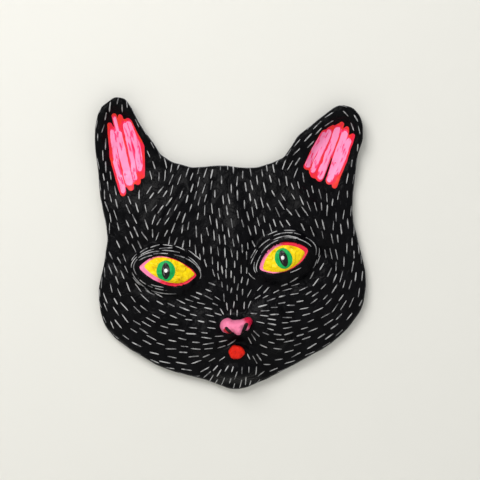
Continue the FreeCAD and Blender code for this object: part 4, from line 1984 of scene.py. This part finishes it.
COMBS = tuple(
    Comb(*row)
    for row in (
        # crown and forehead
        (-0.02, 0.44, 90), (-0.12, 0.44, 72), (-0.21, 0.45, 72), (-0.31, 0.38, 56),
        (-0.27, 0.31, 50), (-0.25, 0.24, 58), (-0.36, 0.32, 115), (-0.41, 0.31, 113),
        (-0.33, 0.25, 110), (-0.46, 0.41, 98), (-0.47, 0.22, 92), (-0.41, 0.17, 112),
        (-0.36, 0.15, 115), (-0.13, 0.36, 74), (-0.18, 0.29, 70), (-0.2, 0.2, 78),
        (-0.06, 0.31, 94), (-0.11, 0.2, 97), (-0.02, 0.27, 102), (0.05, 0.34, 95),
        (0.1, 0.39, 99), (0.12, 0.27, 110), (0.19, 0.34, 120), (0.235, 0.27, 127),
        (0.25, 0.36, 116), (0.28, 0.41, 101), (0.3, 0.26, 108), (0.34, 0.34, 94),
        (0.39, 0.31, 88), (0.43, 0.34, 82), (0.455, 0.22, 88), (0.39, 0.2, 96),
        (0.34, 0.18, 108), (0.08, 0.45, 92), (0.18, 0.45, 100),
        # ridge of the nose
        (-0.05, 0.17, 92), (0.03, 0.17, 100), (0.07, 0.22, 108), (-0.02, 0.1, 92, 0.8),
        (0.02, 0.02, 90, 0.6), (0.0, -0.05, 90, 0.55), (0.01, -0.11, 90, 0.55),
        (-0.033, -0.08, 88, 0.55), (-0.04, -0.01, 92, 0.6), (0.05, -0.03, 86, 0.6),
        (0.045, -0.09, 88, 0.6), (-0.03, -0.13, 88, 0.55), (0.035, -0.13, 92, 0.55),
        (-0.068, -0.06, 160, 0.7), (-0.066, -0.1, 163, 0.7), (-0.066, -0.15, 166, 0.7),
        (-0.05, 0.05, 92, 0.65), (0.05, 0.05, 95, 0.65), (0.0, 0.22, 95, 0.8),
        # between the left eye and the nose, and the left whisker pad
        (-0.09, -0.01, 168, 0.75), (-0.12, -0.09, 158, 0.75), (-0.08, -0.1, 164, 0.7),
        (-0.09, -0.18, 168, 0.75), (-0.09, -0.255, 178, 0.8), (-0.15, -0.2, 170, 0.85),
        (-0.15, -0.3, 176), (-0.07, -0.31, 186),
        # left cheek and jaw
        (-0.38, 0.03, 118), (-0.42, -0.04, 112), (-0.48, -0.04, 92), (-0.35, -0.09, 138),
        (-0.28, -0.11, 148), (-0.215, -0.13, 157), (-0.39, -0.13, 132), (-0.44, -0.13, 122),
        (-0.465, -0.18, 118), (-0.325, -0.22, 150), (-0.27, -0.21, 163), (-0.21, -0.26, 172),
        (-0.29, -0.3, 161), (-0.38, -0.26, 145), (-0.34, -0.34, 153), (-0.21, -0.37, 170),
        (-0.12, -0.395, 22), (-0.18, -0.42, 172),
        # chin
        (-0.02, -0.37, 52, 0.75), (-0.06, -0.36, 35, 0.8), (0.014, -0.39, 86, 0.7),
        (0.06, -0.37, 105, 0.75), (0.1, -0.37, 120, 0.8), (-0.07, -0.45, 62, 0.8),
        (0.01, -0.46, 74, 0.75), (0.06, -0.44, 82, 0.8), (0.115, -0.43, 38, 0.9),
        (0.16, -0.39, 14),
        # right whisker pad
        (0.1, -0.115, 22, 0.7), (0.08, -0.07, 30, 0.75), (0.13, -0.05, 48, 0.75),
        (0.06, -0.02, 60, 0.8), (0.1, -0.17, 165, 0.7), (0.146, -0.165, 177, 0.7),
        (0.18, -0.19, 172, 0.75), (0.117, -0.235, 146, 0.7), (0.08, -0.265, 118, 0.7),
        (0.135, -0.28, 163, 0.75), (0.18, -0.26, 178, 0.8), (0.15, -0.11, 12, 0.75),
        (0.13, -0.33, 168),
        # right cheek and jaw
        (0.235, -0.07, 10, 0.9), (0.31, -0.05, 38, 0.9), (0.35, 0.02, 62), (0.41, 0.0, 74),
        (0.455, 0.05, 86), (0.485, -0.04, 88), (0.39, -0.08, 52), (0.45, -0.11, 62),
        (0.316, -0.16, 28), (0.25, -0.2, 15), (0.345, -0.21, 36), (0.42, -0.19, 50),
        (0.24, -0.27, 18), (0.316, -0.28, 30), (0.24, -0.34, 24), (0.3, 0.05, 64, 0.9),
        (0.38, 0.12, 100), (0.45, 0.13, 90),
        # left ear
        (-0.5, 0.57, 93), (-0.49, 0.68, 78), (-0.43, 0.77, 88, 0.9), (-0.37, 0.68, 118),
        (-0.33, 0.58, 116), (-0.29, 0.5, 106), (-0.49, 0.47, 94),
        # right ear
        (0.22, 0.5, 54), (0.26, 0.59, 52), (0.31, 0.67, 46), (0.38, 0.73, 24),
        (0.44, 0.72, 128), (0.475, 0.66, 98), (0.475, 0.58, 86), (0.45, 0.48, 84),
    )
)


@dataclass
class Hair:
    """Hundreds of short strokes of a fine brush, laid along the lie of the hair.

    Beside and behind are the room a stroke keeps from the next, follow how closely it bends
    with the lie, stray how far in degrees it leans off it. Rows of long strokes ring the eyes.
    """

    skin: Skin
    bare: Sequence[tuple[Height, float]]  # distances from other paint, and the room it needs
    seed: int = 11
    beside: float = 5.0
    behind: float = 10.9
    length: Pair = (6.4, 10.6)
    half_width: Pair = (0.32, 0.58)
    reach: float = 10.0
    tries: int = 26000
    lift: float = 0.16
    over_edge: float = 2.4
    steps: int = 3
    follow: float = 0.35
    stray: float = 5.0
    lid_rows: tuple[float, ...] = (3.4, 5.8, 8.6, 11.2)
    lid_length: Pair = (11.0, 24.0)
    lid_last: float = 9.0
    lid_gap: Pair = (1.5, 6.0)
    lid_drift: float = 0.9
    lid_width: float = 0.4
    lid_points: int = 10
    strokes: list[tuple[Array, Array, float]] = field(default_factory=list)

    def __post_init__(self) -> None:
        """Places the combs over the face."""
        low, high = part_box("face_shell")
        middle, size = (low + high) / 2 / MM, (high - low) / MM
        self.comb_x = np.array([middle.x + comb.u * size.x for comb in COMBS])
        self.comb_z = np.array([middle.z + comb.v * size.z for comb in COMBS])
        turns = np.radians([2 * comb.angle for comb in COMBS])
        self.comb_cos, self.comb_sin = np.cos(turns), np.sin(turns)
        self.comb_close = np.array([comb.close for comb in COMBS])
        self.random = random.Random(self.seed)

    def lie(self, x: float, z: float) -> Pair:
        """How the hair lies at a point.

        Args:
            x: across.
            z: up.

        Returns:
            Its angle in radians, and how close the strokes are.
        """
        away = (self.comb_x - x) ** 2 + (self.comb_z - z) ** 2
        weight = np.exp(-away / self.reach**2) + 1e-9 / (1 + away)
        cos, sin = (weight * self.comb_cos).sum(), (weight * self.comb_sin).sum()
        close = (weight * self.comb_close).sum() / weight.sum()
        return math.atan2(sin, cos) / 2, float(close)

    def is_free(self, x: Array, z: Array) -> Array:
        """True where nothing else is painted."""
        free = self.skin.apart(x, z) < self.over_edge
        for away, spare in self.bare:
            free &= away(x, z) > spare
        return free

    def stroke(self, x: float, z: float, angle: float, close: float) -> bool:
        """Traces one stroke both ways from its middle.

        Args:
            x: across.
            z: up.
            angle: its angle at its middle.
            close: how close the hair is there; shorter where closer.

        Returns:
            True if the stroke had room.
        """
        long = self.random.uniform(*self.length) * (0.45 + 0.55 * close)
        path = [(x, z)]
        for way in (1, -1):
            px, pz, turn = x, z, angle
            for _ in range(self.steps):
                px += way * math.cos(turn) * long / (2 * self.steps)
                pz += way * math.sin(turn) * long / (2 * self.steps)
                local, _ = self.lie(px, pz)
                bend = (local - turn + math.pi / 2) % math.pi - math.pi / 2
                turn += self.follow * bend
                path.insert(len(path) if way > 0 else 0, (px, pz))
        line = np.array(path)
        width = self.random.uniform(*self.half_width)
        heavy = self.random.choice((-1, 1))
        free = bool(self.is_free(line[:, 0], line[:, 1]).all())
        if free:
            self.strokes.append((line[:, 0], line[:, 1], width * heavy))
        return free

    def scatter(self) -> None:
        """Lays strokes over the whole face at an even distance from each other."""
        low, high = self.skin.outline.min(0) - 1, self.skin.outline.max(0) + 1
        taken = np.zeros((0, 2))
        spread = np.array([self.random.random() for _ in range(2 * self.tries)])
        spots = low + (high - low) * spread.reshape(-1, 2)
        free = self.is_free(spots[:, 0], spots[:, 1])
        for x, z in spots[free]:
            angle, close = self.lie(x, z)
            if len(taken):
                along, across = turned(taken[:, 0] - x, taken[:, 1] - z, angle)
                along = along / (self.behind * (0.5 + 0.5 * close))
                across = across / (self.beside * (0.3 + 0.7 * close))
                if (along**2 + across**2 < 1).any():
                    continue
            jitter = math.radians(self.random.gauss(0, self.stray))
            if self.stroke(x, z, angle + jitter, close):
                taken = np.vstack([taken, (x, z)])

    def lids(self) -> None:
        """Lays the long thin strokes that run round each eye, along its outline."""
        for eye in self.skin.eyes.values():
            almond = eye.almond
            for row, out in enumerate(self.lid_rows):
                turn = self.random.uniform(0, 1.2)
                end = turn + 2 * math.pi
                while turn < end:
                    a0, b0 = almond.long + 0.9 * out, almond.short + 0.95 * out
                    last = row == len(self.lid_rows) - 1
                    long = self.lid_last if last else self.random.uniform(*self.lid_length)
                    speed = math.hypot(a0 * math.sin(turn), b0 * math.cos(turn))
                    speed = max(speed, 6.0)
                    sweep = long / speed
                    turns = np.linspace(turn, turn + sweep, self.lid_points)
                    ends = [self.random.uniform(-self.lid_drift, self.lid_drift)
                            for _ in range(2)]
                    drift = np.linspace(*ends, self.lid_points)
                    pinch = 1 - 0.16 * np.cos(turns) ** 4
                    a, b = (a0 + drift) * np.cos(turns), (b0 + drift) * np.sin(turns) * pinch
                    b = b + eye.bow * np.clip(1 - (a / almond.long) ** 2, 0, 1)
                    x, z = almond.world(a, b)
                    clear = all(
                        (away(x, z) > min(spare, 1.6)).all() for away, spare in self.bare
                    )
                    favoured = self.share(eye, float(turns[self.lid_points // 2]), row)
                    if clear and self.random.random() < favoured:
                        self.strokes.append((x, z, self.lid_width))
                    turn += sweep + self.random.uniform(*self.lid_gap) / speed

    @staticmethod
    def share(eye: Eye, turn: float, row: int) -> float:
        """How often a lid stroke is painted, by its place round the eye.

        Args:
            eye: the eye.
            turn: its place, as an angle from the right corner.
            row: which row, from the eye outwards.

        Returns:
            The share of strokes that are painted there.
        """
        inner = math.cos(turn) if eye.side == "left" else -math.cos(turn)
        above = math.sin(turn)
        return max(0.25, 0.62 + 0.3 * above + 0.15 * inner * above - 0.06 * row)

    def build(self) -> None:
        """Makes one mesh of every stroke."""
        self.lids()
        self.scatter()
        mesher = Mesher()
        for x, z, width in self.strokes:
            count = len(x)
            tx, tz = np.gradient(x), np.gradient(z)
            size = np.hypot(tx, tz) + 1e-9
            nx, nz = -tz / size, tx / size
            share = np.linspace(0, 1, count)
            share = share if width > 0 else 1 - share
            taper = np.minimum(1, 4.0 * share + 0.4) * np.minimum(1, 3.4 * (1 - share) + 0.3)
            half = abs(width) * taper
            rows = []
            for side, lift in ((1, 0.02), (0, 1.0), (-1, 0.02)):
                lifts = self.lift * lift * np.ones(count) + 0.03
                points = self.skin.laid(x + side * nx * half, z + side * nz * half, lifts)
                rows.append(mesher.add(points))
            mesher.strip(rows[1], rows[0], count, False)
            mesher.strip(rows[2], rows[1], count, False)
        log.info("%d hair strokes", len(self.strokes))
        settle(mesher.object("hair_strokes"), GREY, Slot.HAIR)


# ------------------------------------------------------------------ hanger


@dataclass
class Hanger:
    """The wire ring, the tape that holds it and the paper pasted over the tape."""

    wire: float = 1.0
    corner: float = 2.5
    sides: int = 20

    def tube(self, name: str, path: Sequence[Vector], radius: float) -> bpy.types.Object:
        """A closed round wire along a path.

        Args:
            name: the object's name.
            path: points in the plane of the ring.
            radius: the wire's radius.

        Returns:
            The object.
        """
        mesher = Mesher()
        count = len(path)
        rows = []
        for k, point in enumerate(path):
            ahead = (path[(k + 1) % count] - path[k - 1]).normalized()
            beside = ahead.cross(Vector((0, 1, 0))).normalized()
            ring = []
            for side in range(self.sides):
                turn = 2 * math.pi * side / self.sides
                way = beside * math.cos(turn) + Vector((0, 1, 0)) * math.sin(turn)
                ring.append(tuple(point + way * radius))
            rows.append(mesher.add(np.array(ring)))
        for k in range(count):
            mesher.strip(rows[k], rows[(k + 1) % count], self.sides, True)
        return mesher.object(name)

    def build(self) -> None:
        """Builds the three pieces."""
        low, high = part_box("hanging_ring")
        low, high = low / MM, high / MM
        middle = (low + high) / 2
        half = (high.x - low.x) / 2 - self.wire
        bar_z, corner = high.z - self.wire, self.corner
        flat, path = half - corner, []

        def arc(across: float, radius: float, start: float, sweep: float, count: int) -> None:
            """Adds a stretch of a circle, with its middle a corner's radius under the bar."""
            for k in range(count):
                turn = start + sweep * k / count
                x, z = across + radius * math.cos(turn), radius * math.sin(turn)
                path.append(Vector((x, middle.y, bar_z - corner + z)))

        quarter = math.pi / 2
        for k in range(14):
            path.append(Vector((-flat + 2 * flat * k / 14, middle.y, bar_z)))
        arc(flat, corner, quarter, -quarter, 8)
        arc(0.0, half, 0.0, -2 * quarter, 40)
        arc(-flat, corner, 2 * quarter, -quarter, 8)
        ring = self.tube("wire_ring", path, self.wire)
        settle(ring, STEEL, Slot.WIRE, ["hanging_ring"], Body.RING)
        for node, finish, slot in (
            ("ring_strap", TAPE, Slot.STRAP),
            ("strap_patch", BAND, Slot.BARE),
        ):
            piece = frame["nodes"][node].copy()
            piece.data = piece.data.copy()
            piece.parent = None
            piece.name = f"{node}_dressed"
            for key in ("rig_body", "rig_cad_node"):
                if key in piece:
                    del piece[key]
            bpy.context.scene.collection.objects.link(piece)
            settle(piece, finish, slot, [node])


# ------------------------------------------------------------------ studio


@dataclass
class Studio:
    """The pale wall and floor, the lights and the camera."""

    floor_drop: float = 0.42
    away: float = 1.5
    behind: float = 0.0012
    view_width: float = 0.4423
    aim: Pair = (0.0083, -0.0507)
    pale: Colour = (0.755, 0.75, 0.712)
    sky: Colour = (0.93, 0.94, 0.95)
    sky_strength: float = 0.455

    def sheet(
        self, name: str, corners: Sequence[tuple[float, float, float]], one_sided: bool
    ) -> None:
        """A pale sheet of the studio.

        Args:
            name: its name.
            corners: its four corners in metres.
            one_sided: True if it can be looked through from behind.
        """
        mesh = bpy.data.meshes.new(name)
        mesh.from_pydata(list(corners), [], [(0, 1, 2, 3)])
        made = bpy.data.objects.new(name, mesh)
        bpy.context.scene.collection.objects.link(made)
        material = bpy.data.materials.new(name)
        material.use_nodes = True
        bench = Bench(material.node_tree)
        shader = material.node_tree.nodes["Principled BSDF"]
        bench.feed(
            shader,
            {"Base Color": rgba(self.pale), "Roughness": 0.9, "Specular IOR Level": 0.1},
        )
        if one_sided:
            away = bench.add("ShaderNodeNewGeometry").outputs["Backfacing"]
            clear = bench.add("ShaderNodeBsdfTransparent").outputs[0]
            mixed = bench.add(
                "ShaderNodeMixShader", {0: away, 1: shader.outputs[0], 2: clear}
            ).outputs[0]
            bench.feed(material.node_tree.nodes["Material Output"], {"Surface": mixed})
            made.visible_diffuse = False
            made.visible_glossy = False
            made.visible_shadow = False
        mesh.materials.append(material)

    def light(
        self,
        name: str,
        place: tuple[float, float, float],
        size: float,
        power: float,
        colour: Colour = (1.0, 1.0, 1.0),
    ) -> None:
        """A square soft light that looks at the mask.

        Args:
            name: its name.
            place: where it stands, in metres.
            size: its side.
            power: its power in watts.
            colour: its colour.
        """
        data = bpy.data.lights.new(name, "AREA")
        data.size, data.energy, data.color = size, power, colour
        made = bpy.data.objects.new(name, data)
        made.location = place
        aim = Vector((0.0, 0.0, -0.06)) - Vector(place)
        made.rotation_euler = aim.to_track_quat("-Z", "Y").to_euler()
        bpy.context.scene.collection.objects.link(made)

    def build(self) -> None:
        """Builds the studio round the mask."""
        drop, wall = -self.floor_drop, self.behind
        self.sheet(
            "studio_wall",
            [(-1.6, wall, drop), (1.6, wall, drop), (1.6, wall, 1.3), (-1.6, wall, 1.3)],
            True,
        )
        self.sheet(
            "studio_floor", [(-3, -3, drop), (3, -3, drop), (3, 3, drop), (-3, 3, drop)],
            False,
        )
        world = bpy.data.worlds.new("studio_air")
        world.use_nodes = True
        air = world.node_tree.nodes["Background"]
        air.inputs["Color"].default_value = rgba(self.sky)
        air.inputs["Strength"].default_value = self.sky_strength
        bpy.context.scene.world = world
        self.light("window", (-0.7, -1.35, 1.0), 1.05, 26.0, (1.0, 0.985, 0.96))
        self.light("fill", (1.2, -1.4, 0.1), 1.4, 3.5)
        self.light("behind", (0.3, 1.3, 0.7), 1.2, 10.0)
        bpy.context.scene.view_settings.view_transform = "Standard"
        data = bpy.data.cameras.new("camera")
        data.sensor_width = 36.0
        data.lens = data.sensor_width * self.away / self.view_width
        camera = bpy.data.objects.new("camera", data)
        camera.location = (self.aim[0], -self.away - 0.01, self.aim[1])
        camera.rotation_euler = (math.pi / 2, 0, 0)
        bpy.context.scene.collection.objects.link(camera)
        bpy.context.scene.camera = camera


# ------------------------------------------------------------------ the whole mask


def rim_finish(
    side: str, eye: Eye, toward: Colour, line: float, softness: float
) -> SplitPaint:
    """The line of pink and red round one eye.

    Args:
        side: left or right.
        eye: the eye.
        toward: the way in which it turns red.
        line: how far that way from the eye's middle.
        softness: half the width of the change.

    Returns:
        The finish.
    """
    start = toward[0] * eye.almond.x + toward[2] * eye.almond.z
    return SplitPaint(
        f"Eye rim {side}", (0.92, 0.23, 0.43), (0.8, 0.02, 0.055), (0.35, 0.45),
        across=400.0, along=300.0, relief=0.15, toward=toward, line=start + line,
        softness=softness,
    )


def eye_paints(skin: Skin) -> list[EyePaint]:
    """The paint of both eyes; places are given from each eye's middle."""
    left, right = skin.eyes["left"], skin.eyes["right"]
    return [
        EyePaint(
            left, rim_finish("left", left, (0.93, 0.0, -0.37), -4.0, 2.5), rim_out=0.3,
            ball_shift=(1.7, 1.2), ball_in=2.5, iris_at=(-1.6, 0.3), iris_half=(8.6, 9.7),
            pupil_half=(3.9, 7.7), tilt=0.02, dot_at=(0.1, 0.3),
        ),
        EyePaint(
            right, rim_finish("right", right, (1.0, 0.0, 0.0), -3.0, 2.5), rim_out=0.3,
            ball_shift=(0.1, -1.1), ball_in=2.9, iris_at=(-0.4, 0.8), iris_half=(8.0, 9.6),
            pupil_half=(3.8, 7.9), tilt=0.28, dot_at=(-0.8, 0.6),
        ),
    ]


def ear_paints(skin: Skin) -> list[EarPaint]:
    """The paint of both ears; the strokes are given from the middle of each lining."""
    return [
        EarPaint(
            skin, "left",
            strokes=(
                EarStroke((-9.2, 10.5), (1.6, -48.4), 5.8, 0.5, -1.6),
                EarStroke((-7.2, 23.2), (3.1, -19.3), 4.8, 0.9),
                EarStroke((-4.1, 8.4), (7.2, -39.6), 8.4, 0.5),
                EarStroke((2.6, 17.0), (12.6, -36.5), 5.8, 0.9, 0.6),
                EarStroke((5.7, 17.2), (17.0, -26.8), 7.2, 0.7, 3.4),
            ),
            ground=(
                EarStroke((-1.6, 22.4), (3.1, -0.4), 5.0),
                EarStroke((5.7, 18.9), (19.2, -32.5), 5.2, bow=6.4),
                EarStroke((-11.0, 14.7), (-0.6, -44.4), 5.2, bow=-2.8),
                EarStroke((3.1, -19.3), (8.4, -43.2), 6.4),
                EarStroke((8.0, -19.3), (14.8, -37.6), 6.4),
            ),
            mottled=(4.0, -8.0), seed=61.0,
        ),
        EarPaint(
            skin, "right",
            strokes=(
                EarStroke((-8.2, 10.2), (-24.6, -20.6), 6.6, 0.4, -0.8),
                EarStroke((-3.5, 13.0), (-19.6, -25.6), 6.4, 0.6),
                EarStroke((4.7, 15.2), (-12.9, -31.0), 7.4, 0.7),
                EarStroke((11.0, 11.5), (-4.1, -34.0), 7.2, 0.6),
                EarStroke((14.1, 4.6), (2.0, -27.6), 6.8, 0.6, 0.8),
            ),
            ground=(
                EarStroke((7.5, 18.6), (-11.0, -23.5), 5.0),
                EarStroke((12.2, 14.9), (0.3, -21.0), 4.8),
                EarStroke((17.0, 7.7), (0.5, -38.6), 5.0, bow=1.0),
                EarStroke((-0.8, 16.4), (-14.0, -15.0), 3.4),
                EarStroke((-10.0, -15.0), (-18.6, -28.4), 6.0),
            ),
            mottled=(5.0, -10.0), seed=67.0,
        ),
    ]


def main() -> None:
    """Builds every piece in order."""
    logging.basicConfig(level=logging.INFO, format="%(name)s: %(message)s")
    skin = Skin()
    skin.build()
    ears, muzzle = ear_paints(skin), Muzzle(skin)
    for paint in (*eye_paints(skin), *ears, muzzle):
        paint.build()
    bare = [(eye.distance, 11.5) for eye in skin.eyes.values()]
    bare += [(muzzle.nose_edge, 2.6), (muzzle.tongue_away, 2.0)]
    bare += [(ear.edge((*ear.strokes, *ear.ground), 0.0, 0.0, 61.0), 2.0) for ear in ears]
    bare.append((muzzle.mouth_away, 1.8))
    Hair(skin, bare).build()
    Hanger().build()
    Studio().build()


if __name__ == "__main__":
    main()
